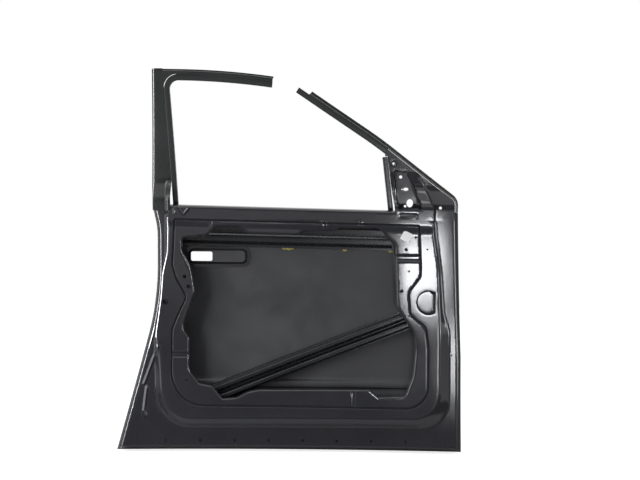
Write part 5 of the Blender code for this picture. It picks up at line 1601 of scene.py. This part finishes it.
def softbox(name, spot, target, size, power, lights):
    """A soft lamp. Without lights it is a pale card that only shows in the gloss."""
    data = bpy.data.lights.new(name, "AREA")
    data.shape = "RECTANGLE"
    data.size, data.size_y = size
    data.energy = power
    data.color = LAMP_COLOR
    obj = bpy.data.objects.new(name, data)
    obj.matrix_world = aimed(spot, target)
    obj.visible_camera = False
    obj.visible_diffuse = lights
    bpy.context.scene.collection.objects.link(obj)


def flag(name, spot, target, size):
    """A black cloth beside the lights, which only shows in reflections."""
    obj = square(name, 1.0)
    obj.matrix_world = aimed(spot, target) @ Matrix.Diagonal((*size, 1, 1))
    obj.visible_camera = False
    obj.visible_shadow = False
    obj.visible_diffuse = False
    cloth, tree, shader = new_finish(name)
    color = blend_colors(tree, noise(tree, 30.0), (0.004, 0.004, 0.005, 1), (0.01, 0.01, 0.01, 1))
    tree.links.new(color, shader.inputs["Base Color"])
    shader.inputs["Specular IOR Level"].default_value = 0.0
    obj.data.materials.append(cloth)


def backdrop():
    """White to the camera, to reflections and through glass, and a plain soft light on the rest."""
    world = bpy.data.worlds.new("studio")
    bpy.context.scene.world = world
    world.use_nodes = True
    tree = world.node_tree
    back = tree.nodes["Background"]
    back.inputs["Color"].default_value = (1, 1, 1, 1)
    rays = tree.nodes.new("ShaderNodeLightPath")
    seen = rays.outputs["Is Camera Ray"]
    for other in ("Is Glossy Ray", "Is Transmission Ray"):
        either = tree.nodes.new("ShaderNodeMath")
        either.operation = "MAXIMUM"
        tree.links.new(seen, either.inputs[0])
        tree.links.new(rays.outputs[other], either.inputs[1])
        seen = either.outputs[0]
    tree.links.new(spread(tree, seen, WORLD_LEVEL, 1.0, 0.0, 1.0), back.inputs["Strength"])


def studio_floor():
    """Pale paper that keeps the door's shadow and goes over into the white behind it."""
    floor = square("stage_floor", FLOOR_SIDE)
    floor.location = (DOOR_MIDDLE[0], 0, cad_box[0][2] - FLOOR_GAP)
    cover, tree, shader = new_finish("floor_paper")
    shader.inputs["Roughness"].default_value = 0.85
    shader.inputs["Specular IOR Level"].default_value = 0.1
    shader.inputs["Emission Color"].default_value = (1, 1, 1, 1)
    tone = blend_colors(tree, noise(tree, 40.0), (0.80, 0.80, 0.80, 1), (0.83, 0.83, 0.83, 1))
    tree.links.new(tone, shader.inputs["Base Color"])
    rays = tree.nodes.new("ShaderNodeLightPath")
    lift = spread(tree, rays.outputs["Is Camera Ray"], 0.0, FLOOR_LIFT, 0, 1)
    tree.links.new(lift, shader.inputs["Emission Strength"])
    floor.data.materials.append(cover)


def main():
    bpy.context.scene.view_settings.view_transform = "Standard"
    camera()
    backdrop()
    studio_floor()
    for lamp in LAMPS:
        softbox(*lamp)
    for cloth in FLAGS:
        flag(*cloth)
    fine_inner_panel()
    fine_outer_skin()
    frame_upright()
    frame_header()
    frame_pillar()
    frame_gusset()
    glass_runs()
    mirror_panel()
    belt_rails()
    side_beam()
    rear, front = beam_path()
    beam_bracket("beam_bracket_rear", rear, front)
    beam_bracket("beam_bracket_front", front, rear)
    handle_ring()
    squeezed_dabs()
    blank_label()
    dress()


main()
